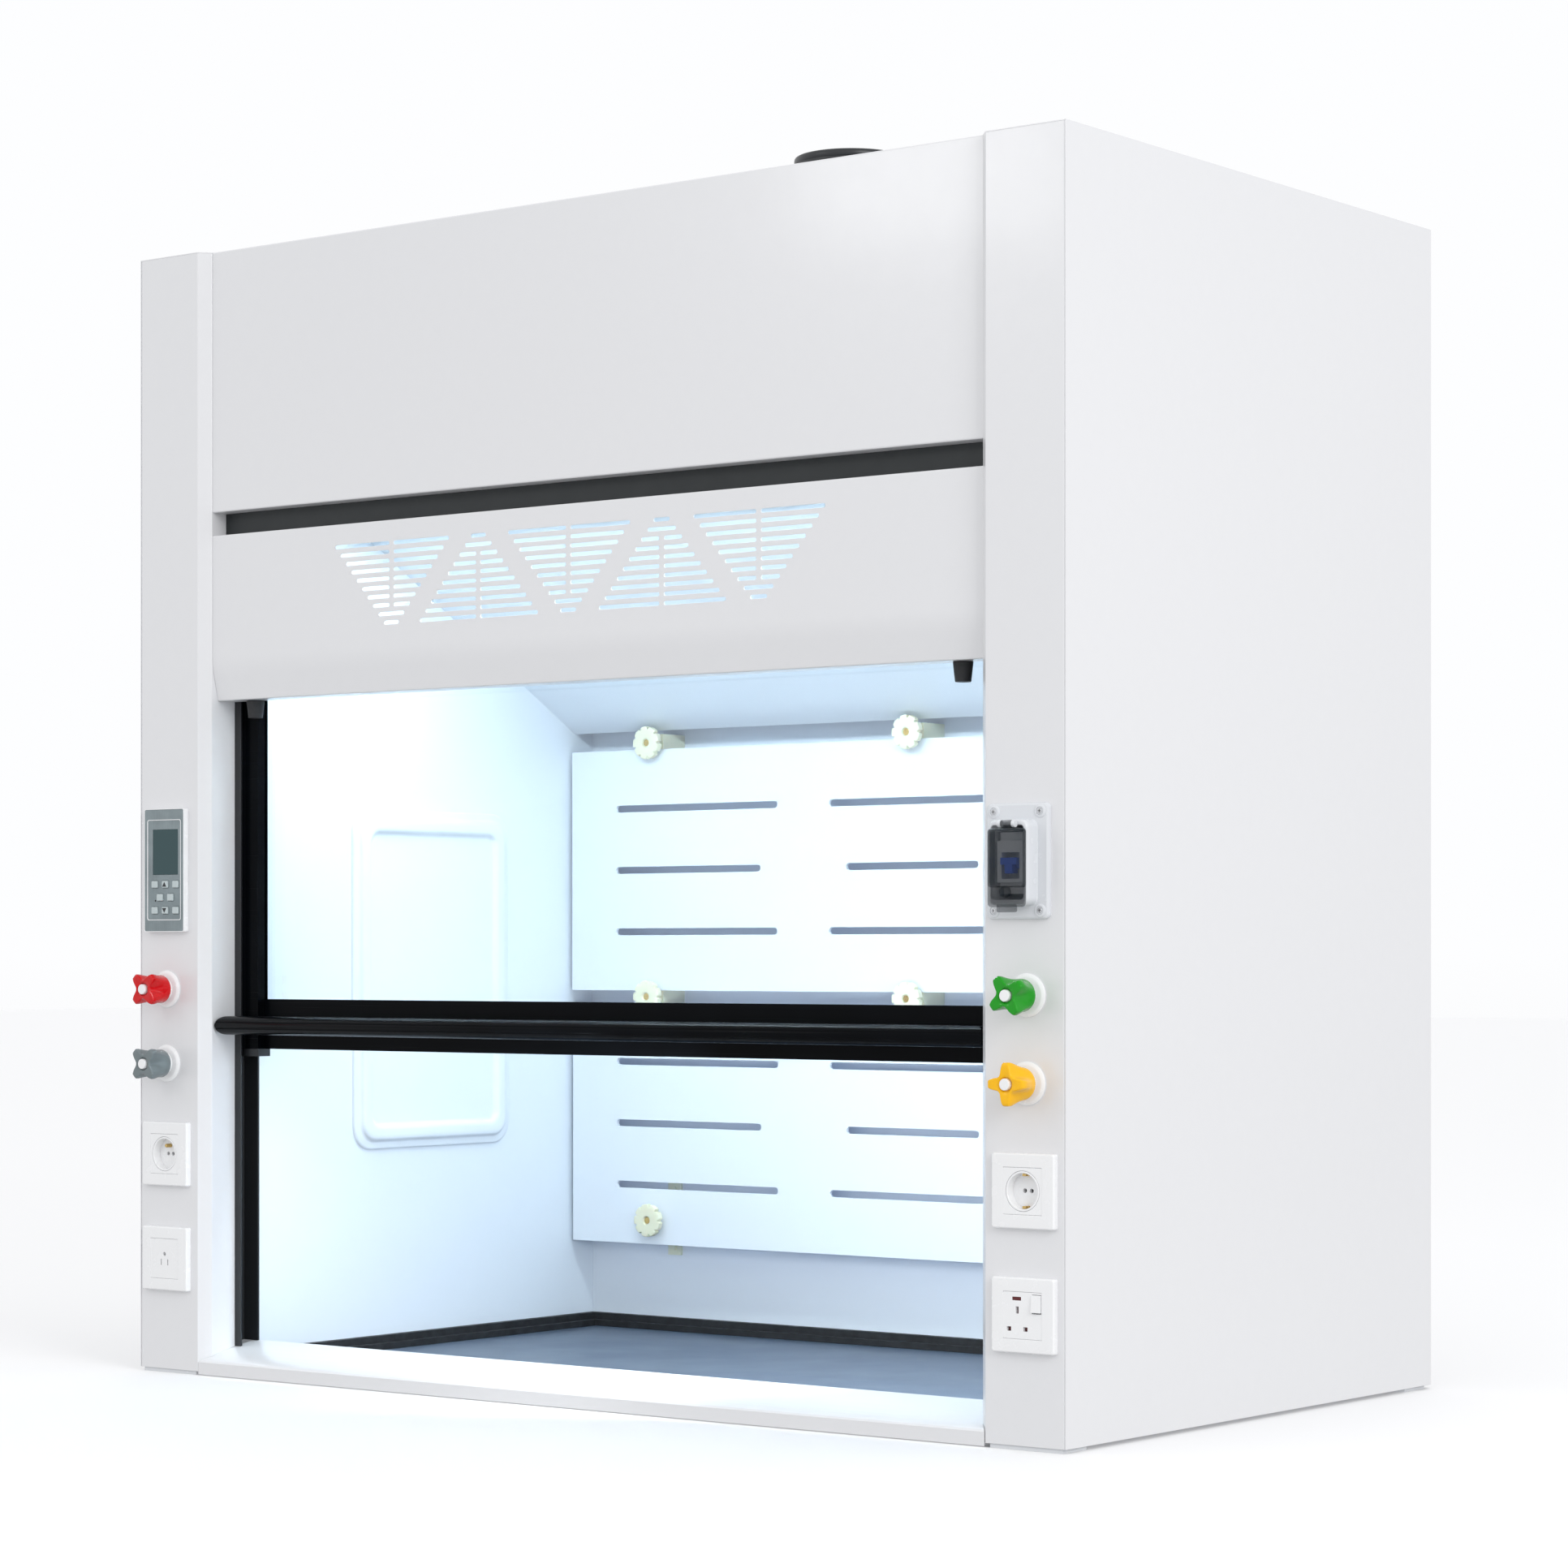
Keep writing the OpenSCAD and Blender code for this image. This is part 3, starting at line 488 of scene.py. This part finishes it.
def header():
    w = OPEN_X - 0.3
    fold = Fold([(52, TOP_Z), (RECESS, TOP_Z), (RECESS, 1156), (39.7, 1156)], (2.2, 2.2))
    outline = [(-w, 0), (w, 0), (w, fold.length()), (-w, fold.length())]
    piece("header_sheet", folded_sheet([outline], fold, 1.5, lambda u, a, b: (u, a, b)),
          "white_paint", "header_panel")


def vents():
    """Triangles of short slots, pointing down and up in turn, with a middle rib: [x0, x1, z]."""
    rows = 10
    for k in range(5):
        middle = (k - 2) * 150
        for i in range(rows):
            wide = 100 - i * 9.7
            z = 992.5 + 11.4 * (rows - 1 - i if k % 2 == 0 else i)
            if i < 8:
                yield middle - wide, middle - 3.6, z
                yield middle + 3.6, middle + wide, z
            else:
                yield middle - wide, middle + wide, z


def bypass():
    w = OPEN_X - 0.3
    fold = Fold([(39.7, 1125), (RECESS, 1125), (RECESS, 950), (25, 904), (56.5, 904)], (2.2, 120, 2.2), 8)
    outline = [(-w, 0), (w, 0), (w, fold.length()), (-w, fold.length())]
    slots = []
    for x0, x1, z in vents():
        slots.append([(x, fold.reach(1, up)) for x, up in slot_outline(x0, x1, z, 5)])
    bm = folded_sheet([outline] + slots, fold, 1.5, lambda u, a, b: (u, a, b), 0.25)
    piece("bypass_sheet", bm, "white_paint", "bypass_panel")


def collar():
    """Moulded exhaust collar with a rolled bead at its mouth and ribs round its foot."""
    bm = bmesh.new()
    bead = [(75 + 2 * math.sin(a), 138 - 4.5 * math.cos(a)) for a in [math.pi * i / 10 for i in range(11)]]
    wall = [(71, 0.4), (71.4, 0), (96.4, 0), (97, 0.6), (97, 4.2), (96.2, 5), (78, 5), (75.6, 6.2), (75, 9)]
    mouth = [(74.4, 143), (71.6, 143), (71, 142.4)]
    add_lathe(bm, wall + bead + mouth, (0, 606, TOP_Z), "z", 128, closed=True)
    for i in range(12):
        angle = TAU * (i + 0.5) / 12
        spot = at(0, 606, TOP_Z)
        rib = Matrix.Translation(spot) @ Matrix.Rotation(angle, 4, "Z")
        points = [(74.5, 5), (92, 5), (76.5, 24), (74.5, 24)]
        add_loft(bm, [[rib @ (Vector((r, side, h)) * MM) for r, h in points] for side in (-1.5, 1.5)])
    piece("collar_moulding", bm, "black_plastic", "exhaust_collar")


# ---- inside ----

def access_panels():
    """Pressed frame round a shallow tray, on each side liner."""
    # how far in from the outline, and how far out from the liner
    section = [(0, 0), (0.2, 2.4), (1.2, 3.8), (3, 4.6), (9, 5), (11, 5.6), (12.4, 7.4), (13.6, 9.6),
               (16, 10.8), (20, 11), (27, 11), (30, 10.4), (32, 8.6), (33.6, 6), (35.4, 4.4), (38, 4)]
    bm = bmesh.new()
    for hand in (-1, 1):
        rings = []
        for inset, rise in section:
            loop = rounded(326 - 2 * inset, 478 - 2 * inset, max(34 - inset * 0.55, 10), (448, 529), 12)
            rings.append([at(hand * (OPEN_X - rise), y, z) for y, z in loop])
        add_loft(bm, rings)
    piece("access_trays", bm, "liner_white", "access_panels", sharp=50)


def baffle_points():
    for x in (-467, 0, 467):
        yield x, 873
        yield x, 502
    for x in (-467, 467):
        yield x, 175


def baffle_knobs():
    """Scalloped hand nuts."""
    # how far in from the rim, and y
    profile = [(11, 750), (11, 745.4), (1.6, 745), (0.4, 744.2), (0, 743), (0, 737), (0.5, 735.9),
               (1.8, 735.2), (6, 734.9), (16.6, 735), (17.6, 735.4), (18.4, 736.4), (18.8, 738),
               (18.8, 749.9)]
    rim, notches, notch_depth, flat_face = 24, 9, 3.4, 9
    bm = bmesh.new()
    steps = 144
    for x, z in baffle_points():
        rings = []
        for inset, y in profile:
            ring = []
            for i in range(steps):
                angle = TAU * i / steps
                wave = 0.5 + 0.5 * math.cos(notches * angle)
                notch = notch_depth * max(0.0, 1 - inset / flat_face) * min(1.6 * wave ** 12, 1)
                radius = rim - inset - notch if inset < flat_face else rim - inset
                ring.append(at(x + radius * math.cos(angle), y, z + radius * math.sin(angle)))
            rings.append(ring)
        add_loft(bm, rings, closed=True)
    piece("baffle_nuts", bm, "ivory", "baffle_knobs")
    ends = bmesh.new()
    for x, z in baffle_points():
        add_lathe(ends, [(4.8, 737.9), (4.8, 737.3), (4.2, 736.9)], (x, 0, z), "y", 32)
    piece("baffle_stud_ends", ends, "brass")


def bumpers():
    """Tapered rubber stops under the bypass panel."""
    bm = bmesh.new()
    for x in (-577, 577):
        profile = [(3, 880.6), (8.4, 880), (9.2, 880.3), (9.6, 881.2), (12, 902.5), (11.8, 903.6), (11, 904)]
        add_lathe(bm, profile, (x, 46, 0), "z", 48)
    piece("rubber_stops", bm, "black_rubber", "sash_bumpers")


# ---- sash cables ----

CABLE_X = 655
CABLE_R = 1.5
PULLEY = (117, 1440)
PULLEY_R = 42


def wire_rope(name, spine, node):
    """Six-strand rope along [y, z] points, put on no body."""
    sides, pitch = 24, 14
    bm = bmesh.new()
    for x in (-CABLE_X, CABLE_X):
        rings, run = [], 0.0
        for k, (y, z) in enumerate(spine):
            before, after = spine[max(k - 1, 0)], spine[min(k + 1, len(spine) - 1)]
            if k:
                run += math.dist(spine[k - 1], spine[k])
            along = Vector((after[0] - before[0], after[1] - before[1])).normalized()
            ring = []
            for i in range(sides):
                angle = TAU * i / sides
                strand = abs(math.cos(3 * (angle - TAU * run / pitch / 6)))
                a, b = (CABLE_R * (0.82 + 0.18 * strand) * f(angle) for f in (math.cos, math.sin))
                ring.append(at(x + a, y + b * along.y, z - b * along.x))
            rings.append(ring)
        add_loft(bm, rings)
    rope = piece(name, bm, "steel", node, body=None)
    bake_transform(rope)


def cables():
    step = 4
    front = [(75, z) for z in range(977, 1440, step)] + [(75, 1440)]
    wire_rope("rope_front", front, "cable_front")
    back = [(159, z) for z in range(784, 1440, step)]
    arc = [math.pi * i / 40 for i in range(41)]
    back += [(PULLEY[0] + PULLEY_R * math.cos(a), PULLEY[1] + PULLEY_R * math.sin(a)) for a in arc]
    wire_rope("rope_back", back, "cable_back")


# ---- valves ----

KNOBS = (("red", -1, 0, 45), ("grey", -1, 1, 45), ("green", 1, 0, 35), ("yellow", 1, 1, 0))


def star_knob(color, hand, row, twist):
    """A round base that grows four blunt lobes towards its dished face, with a cap in the middle."""
    x0, z0 = hand * BAYS[row][0], BAYS[row][1]
    steps = 160
    lobe, blunt = 11.6, 0.86
    # y, the core's radius, and the lobes' share of their full height
    lobed = [(-10.6, 17.2, 0), (-11, 18.3, 0), (-12.4, 18.9, 0), (-16, 18.8, 0.04), (-20, 18.2, 0.16),
             (-25, 17, 0.36), (-30, 15.6, 0.6), (-35, 14.4, 0.82), (-39, 13.7, 0.95), (-43, 13.2, 1),
             (-45, 12.7, 0.97), (-45.8, 12.1, 0.88), (-46, 11.3, 0.72), (-45.9, 10.4, 0.36),
             (-45.2, 9.2, 0.1), (-44, 8.4, 0), (-42, 8.2, 0), (-41.8, 7.2, 0)]
    bm = bmesh.new()
    rings = []
    for y, core, share in lobed:
        ring = []
        for i in range(steps):
            angle = TAU * i / steps
            swell = 0.5 + 0.5 * math.cos(4 * (angle - math.radians(twist)))
            radius = core + share * lobe * min(swell ** 1.5, blunt) / blunt
            ring.append(at(x0 + radius * math.cos(angle), y, z0 + radius * math.sin(angle)))
        rings.append(ring)
    add_loft(bm, rings)
    add_lathe(bm, [(4, -10.7), (4, 10)], (x0, 0, z0), "y", 32)
    name = "knob_" + color
    piece(name + "_star", bm, color, name, sharp=50)
    cap = bmesh.new()
    add_lathe(cap, [(6.8, -41.9), (6.8, -46.9), (6.4, -47.5), (5.2, -47.8)], (x0, 0, z0), "y", 48)
    piece(name + "_cap", cap, "white_plastic", body=BODY_OF[name])


def flanges():
    bm = bmesh.new()
    profile = [(5, 0), (24.6, 0), (25, -0.5), (25, -1.7), (24.4, -2.4), (22, -3.8), (20.6, -4.3),
               (15.6, -4.6), (14.7, -5.2), (14.5, -6.2), (14.5, -9.3), (14, -9.9), (5.4, -10), (5, -9.6)]
    for hand in (-1, 1):
        for x, z in BAYS:
            add_lathe(bm, profile, (hand * x, 0, z), "y", 72, closed=True)
    piece("flange_rings", bm, "white_plastic", "valve_flanges")


# ---- sockets ----

PLATE = 86
OPENING = 53.8
INSERT = 53.4
BLOCK = 61.6


def socket_plates():
    """Wall plates with a chamfered rim."""
    section = [(PLATE, PLATE, 3, 0), (PLATE, PLATE, 3, -5.4), (PLATE - 0.8, PLATE - 0.8, 2.8, -6.6),
               (PLATE - 2.4, PLATE - 2.4, 2.4, -7.6), (PLATE - 4, PLATE - 4, 2.2, -8),
               (INSERT - 0.1, OPENING + 1, 1.4, -8), (INSERT - 0.3, OPENING, 1, -7.5),
               (INSERT - 0.3, OPENING, 1, 0)]
    bm = bmesh.new()
    for hand in (-1, 1):
        for x, z in SOCKETS:
            rings = [[at(px, y, pz) for px, pz in rounded(w, h, r, (hand * x, z))] for w, h, r, y in section]
            add_loft(bm, rings, closed=True)
    piece("wall_plates", bm, "white_plastic", "socket_plates")


def box_outline(x0, x1, z0, z1, radius=0.6):
    return rounded(x1 - x0, z1 - z0, radius, ((x0 + x1) / 2, (z0 + z1) / 2), 3)


def moved(outline, x, z):
    return [(px + x, pz + z) for px, pz in outline]


def inserts():
    """Outlet modules: two with a round well, one with a round hole and two slots, one switched."""
    front, back, well = -7.6, 22, 4.5
    square_face = rounded(INSERT, INSERT, 1.5, steps=4)
    square_block = rounded(BLOCK, BLOCK, 1.5, steps=4)
    pins = [circle(2.6, 24, (x, 0)) for x in (-4.6, 4.6)]
    low_slots = [circle(2.6, 24, (0, 6))] + [box_outline(x - 1, x + 1, -9, -1, 0.4) for x in (-6.3, 6.3)]
    switched = [box_outline(-14, -2, 17, 21), box_outline(-9.4, -5.4, 2, 10),
                box_outline(-21.6, -15.6, -18, -13), box_outline(0.8, 6.8, -18, -13),
                box_outline(12.6, 25.4, 2.6, 24.4)]
    layout = (((-1, 0), [circle(23.3, 72)], pins), ((-1, 1), low_slots, None),
              ((1, 0), [circle(23.3, 72)], pins), ((1, 1), switched, None))
    bm, backs, red, brass = (bmesh.new() for _ in range(4))
    for (hand, row), holes, floor_holes in layout:
        x, z = hand * SOCKETS[row][0], SOCKETS[row][1]
        add_slab(bm, [moved(o, x, z) for o in [square_face] + holes], front, 0.3, 0.5)
        add_slab(bm, [moved(o, x, z) for o in [square_block] + holes], 0.2, back, 0.5)
        if floor_holes:
            add_slab(bm, [moved(o, x, z) for o in [circle(20.6, 72)] + floor_holes], well, well + 6, 0.3)
            rim = [(20.5, -7), (20.9, -7.5), (21.6, -7.6), (22.4, -7.5), (22.9, -7), (22.9, -5.5),
                   (23.4, -5.3), (23.4, well + 6), (20.5, well + 6)]
            add_lathe(bm, rim, (x, 0, z), "y", 72, closed=True)
        add_slab(backs, [moved(square_block, x, z)], back + 0.1, 24, 0.3)
    x, z = -SOCKETS[0][0], SOCKETS[0][1]
    pin = [(2.6, 7), (2.6, -3.6), (2, -4.6), (0.8, -5)]
    add_lathe(brass, pin, (x, 0, z + 11), "y", 32)
    x, z = SOCKETS[0]
    for side in (-1, 1):
        for k, (wide, y0) in enumerate(((2.5, -4), (1.7, -2.5), (2.5, -1))):
            clip = box_outline(-wide, wide, side * 18.5 - 1.5, side * 18.5 + 1.5, 0.4)
            add_slab(brass, [moved(clip, x, z)], y0, y0 + 1.4 if k < 2 else 6.5, 0.2)
    x, z = SOCKETS[1]
    add_slab(red, [moved(box_outline(-13.8, -2.2, 17.2, 20.8), x, z)], -7.3, -5, 0.5)
    for shutter in ((-9.3, -5.5, 2.1, 9.9), (-21.5, -15.7, -17.9, -13.1), (0.9, 6.7, -17.9, -13.1)):
        add_slab(red, [moved(box_outline(*shutter, 0.4), x, z)], -3, -1.4, 0.2)
    piece("outlet_modules", bm, "white_plastic", "socket_inserts")
    piece("outlet_backs", backs, "black_plastic")
    piece("outlet_shutters", red, "red", finish=SHUTTER_RED)
    piece("outlet_contacts", brass, "brass")
    rocker = bmesh.new()
    profile = [(-4.6, 10.5), (-5.2, 9.6), (-5.6, 0), (-6.6, -9), (-6.2, -9.5), (0, -9.2), (2, 0), (0, 9.4)]
    half, pivot_y = 6.1, -4
    spot = (x + 19, z + 13.5)
    add_loft(rocker, [[at(spot[0] + side, y + pivot_y, spot[1] + up) for y, up in profile]
                      for side in (-half, half)])
    piece("rocker_cap", rocker, "white_plastic", "socket_rocker")


# ---- breaker ----

BREAKER = (687.5, 669.5)
HOUSING = (687.5, 667.5)


def breaker_box():
    """Surface plate and raised housing in one moulding, with screw bosses and hinge tabs."""
    section = [(BREAKER, 85, 132, 6, 0), (BREAKER, 85, 132, 6, -2.8), (BREAKER, 84, 131, 5.6, -4.6),
               (BREAKER, 81, 128, 5, -5.8), (BREAKER, 79, 126, 5, -6), (HOUSING, 57, 99, 9.6, -6),
               (HOUSING, 55.6, 97.6, 9.2, -6.6), (HOUSING, 55, 97, 9, -8), (HOUSING, 55, 97, 9, -20.5),
               (HOUSING, 54.2, 96.2, 8.6, -23.4), (HOUSING, 52, 94, 8, -25.4), (HOUSING, 49.6, 91.6, 7, -26),
               (HOUSING, 45.6, 85.6, 4.8, -26), (HOUSING, 44.4, 84.4, 4.2, -25.4), (HOUSING, 44, 84, 4, -24),
               (HOUSING, 44, 84, 4, 42), (HOUSING, 50, 90, 4, 44), (HOUSING, 50, 90, 4, 0)]
    bm = bmesh.new()
    rings = [[at(x, y, z) for x, z in rounded(w, h, r, center)] for center, w, h, r, y in section]
    add_loft(bm, rings, closed=True)
    spots = [(BREAKER[0] + x, BREAKER[1] + z) for x in (-31.5, 31.5) for z in (-56.3, 56.3)]
    for x, z in spots:
        boss = [(8, -5.7), (7.6, -6.6), (6.6, -7.2), (4.9, -7.4), (4.6, -7.1), (4.6, -5.7)]
        add_lathe(bm, boss, (x, 0, z), "y", 48, closed=True)
    for x0 in (679.4, 698.6):
        add_lathe(bm, [(4, x0), (4.4, x0 + 0.4), (4.4, x0 + 3.6), (4, x0 + 4)], (0, -31, 711), "x", 32)
    piece("breaker_housing", bm, "grey_plastic", "breaker_enclosure")
    screws = bmesh.new()
    arm, reach = 0.75, 2.9
    cross = [(arm, arm), (arm, reach), (-arm, reach), (-arm, arm), (-reach, arm), (-reach, -arm),
             (-arm, -arm), (-arm, -reach), (arm, -reach), (arm, -arm), (reach, -arm), (reach, arm)]
    # Black discs behind each screw's cross drive: painted shade at the bottom of the drive recesses.
    drive_shade = bmesh.new()
    for (x, z), turn in zip(spots, (35, 12, 68, 20)):
        cos, sin = math.cos(math.radians(turn)), math.sin(math.radians(turn))
        drive = [(cos * a - sin * b, sin * a + cos * b) for a, b in cross]
        add_slab(screws, [moved(circle(4.3, 40), x, z), moved(drive, x, z)], -7, -5.8, 0.15)
        add_slab(drive_shade, [moved(circle(3.4, 32), x, z)], -6.6, -6, 0.1)
    piece("breaker_screws", screws, "steel", finish=MATERIALS["grey_plastic"])
    # The black discs are painted shade seen through the screws' cross drives.
    piece("breaker_screw_drive_shade", drive_shade, "black_plastic")


def breaker_cover():
    """Smoked door: a hollow bulge on a flat plate, with a hinge knuckle, a latch tab and a thumb-turn."""
    bulge = [(6, -41.2), (3.4, -40.8), (2, -38), (2, -27), (0, -27), (0, -38), (0.8, -40.8), (2.4, -42.4),
             (4.6, -43)]
    bm = bmesh.new()
    middle = (692, 672.5)
    add_loft(bm, [[at(x, y, z) for x, z in rounded(44 - 2 * i, 67 - 2 * i, max(4 - i * 0.3, 2), middle)]
                  for i, y in bulge])
    flat = [rounded(50, 89, 5, (689, 661.5)), rounded(39.8, 62.8, 2.6, middle)]
    add_slab(bm, flat, -31, -26.6, 0.6)
    add_slab(bm, [box_outline(677, 703, 611, 620, 2)], -32, -28, 0.6)
    add_lathe(bm, [(4, 684), (4.4, 684.4), (4.4, 697.6), (4, 698)], (0, -31, 711), "x", 32)
    piece("breaker_door", bm, "smoke", "breaker_cover")
    turn = bmesh.new()
    profile = [(6.5, -31.1), (6.5, -35), (6, -36), (5.8, -37)]
    add_lathe(turn, profile, (690, 0, 634), "y", 48)
    add_slab(turn, [box_outline(688.8, 691.2, 628.6, 639.4, 1)], -42, -36.8, 0.5)
    piece("breaker_thumbturn", turn, "smoke", body=BODY_OF["breaker_cover"])


# ---- controller ----

CASE = (-695.5, 677)
KEY_X = -693.3
KEYS = (("key_1", -20, 658), ("key_up", 0, 658), ("key_3", 20, 658),
        ("key_4", -10, 640.5), ("key_5", 10, 640.5),
        ("key_6", -20, 623), ("key_down", 0, 623), ("key_8", 20, 623))


def controller():
    """A brushed face on a pale case, with a raised outline, and eight keys in their wells."""
    wells = [rounded(11.8, 10.4, 1.7, (KEY_X + dx, z)) for _, dx, z in KEYS]
    window = box_outline(-717.7, -669.4, 671, 732, 0.6)
    led = circle(1.4, 24, (KEY_X - 19.4, 636))
    case = bmesh.new()
    add_slab(case, [rounded(76, 166, 3, CASE)] + wells + [window], -6.5, -2.4, 0.5)
    add_slab(case, [rounded(76, 166, 3, CASE)], -2.5, 0, 0.5)
    add_slab(case, [rounded(58, 136, 2, CASE)], -0.1, 26, 0.5)
    piece("controller_shell", case, "white_plastic")
    face = bmesh.new()
    panel = (CASE[0], 677.5)
    add_slab(face, [rounded(63, 134, 2.6, panel)] + wells + [window, led], -7.9, -6.4, 0.2)
    add_slab(face, [rounded(74, 164, 2.5, CASE), rounded(64, 135, 3, panel)], -8.6, -6.4, 0.3)
    piece("controller_face", face, "teal", "controller_case")
    bezel = bmesh.new()
    add_slab(bezel, [rounded(76, 166, 3, CASE), rounded(74, 164, 2.5, CASE)], -8.8, -6.4, 0.25)
    add_slab(bezel, [rounded(64.6, 135.6, 3.2, panel), rounded(62.6, 133.6, 2.5, panel)], -8.8, -6.4, 0.25)
    piece("controller_bezel", bezel, "white_plastic")
    dot = bmesh.new()
    add_lathe(dot, [(1.3, -6.5), (1.3, -7.8), (0.9, -8.1), (0.3, -8.2)], (KEY_X - 19.4, 0, 636), "y", 24)
    piece("controller_led", dot, "black_plastic")
    cap = [(0, -4), (0, -8.8), (0.3, -9.6), (0.9, -10.1), (1.6, -10.25)]
    for name, dx, z in KEYS:
        x = KEY_X + dx
        key = bmesh.new()
        rings = [(rounded(11 - 2 * i, 9.6 - 2 * i, max(1.5 - i * 0.5, 0.5), (x, z)), y) for i, y in cap]
        add_loft(key, [[at(px, y, pz) for px, pz in outline] for outline, y in rings])
        piece(name + "_cap", key, "key_grey", name)
        if name in ("key_up", "key_down"):
            up = 1 if name == "key_up" else -1
            mark = bmesh.new()
            add_slab(mark, [[(x - 3.9, z - 3.1 * up), (x + 3.9, z - 3.1 * up), (x, z + 3.4 * up)]],
                     -10.4, -10.2, 0.05)
            piece(name + "_arrow", mark, "black_plastic", body=BODY_OF[name])


posts()
header()
bypass()
collar()
access_panels()
baffle_knobs()
bumpers()
cables()
for knob in KNOBS:
    star_knob(*knob)
flanges()
socket_plates()
inserts()
breaker_box()
breaker_cover()
controller()


# ---- stage ----

def area_light(name, place, aim, size, power, color=(1, 1, 1)):
    """A soft lamp that lights the model and shows only in its reflections."""
    lamp = bpy.data.lights.new(name, "AREA")
    lamp.shape = "RECTANGLE"
    lamp.size, lamp.size_y = size
    lamp.energy = power
    lamp.color = color
    holder = bpy.data.objects.new(name, lamp)
    holder.location = place
    holder.rotation_euler = (Vector(aim) - Vector(place)).to_track_quat("-Z", "Y").to_euler()
    holder.visible_camera = False
    scene.collection.objects.link(holder)


def sky(world):
    """Bright from above and weaker from below, so that undersides and low panels keep their shade."""
    tree = world.node_tree
    place = tree.nodes.new("ShaderNodeTexCoord")
    split = tree.nodes.new("ShaderNodeSeparateXYZ")
    reach = tree.nodes.new("ShaderNodeMapRange")
    reach.inputs["From Min"].default_value = -0.4
    reach.inputs["From Max"].default_value = 0.0
    reach.inputs["To Min"].default_value = 0.62
    reach.inputs["To Max"].default_value = 1.0
    tree.links.new(place.outputs["Generated"], split.inputs["Vector"])
    tree.links.new(split.outputs["Z"], reach.inputs["Value"])
    tree.links.new(reach.outputs["Result"], tree.nodes["Background"].inputs["Strength"])
    tree.nodes["Background"].inputs["Color"].default_value = (0.985, 0.99, 1.0, 1)


def studio():
    world = bpy.data.worlds.new("studio")
    world.use_nodes = True
    sky(world)
    scene.world = world
    area_light("key", (5.2, -2.4, 2.6), (0.4, 0, 0.8), (2.2, 2.2), 95)
    area_light("header_glow", (-1.75, -3.7, 2.3), (0.5, -0.4, 1.4), (0.62, 0.36), 5.5)
    area_light("hood_lamp", (0, -0.205, 1.14), (0, -0.205, 0), (1.1, 0.12), 5.9, (0.80, 0.93, 1.0))
    area_light("hood_fill", (0.3, -0.33, 0.30), (-0.1, 0.375, 0.12), (0.8, 0.25), 3.5, (0.86, 0.94, 1.0))
    area_light("behind_baffle", (0, 0.335, 0.55), (0, 0.5, 0.55), (1.2, 0.9), 0.40, (0.55, 0.67, 1.0))
    floor = bpy.data.meshes.new("floor")
    reach = 28
    floor.from_pydata([(-reach, -reach, 0), (reach, -reach, 0), (reach, reach, 0), (-reach, reach, 0)],
                      [], [(0, 1, 2, 3)])
    ground = bpy.data.objects.new("floor", floor)
    ground.data.materials.append(Paint("floor", (0.96, 0.96, 0.965), 0.7).material)
    ground.visible_diffuse = False
    scene.collection.objects.link(ground)
    scene.view_settings.view_transform = "Standard"


def camera():
    """A level camera, low and to the right, whose lens shift keeps the uprights upright."""
    data = bpy.data.cameras.new("camera")
    data.lens = 90.8
    data.shift_y = 0.1095
    data.clip_end = 60
    holder = bpy.data.objects.new("camera", data)
    holder.location = (3.207, -4.159, 0.562)
    holder.rotation_euler = (math.radians(90), 0, 0.65376)
    scene.collection.objects.link(holder)
    scene.camera = holder


studio()
camera()
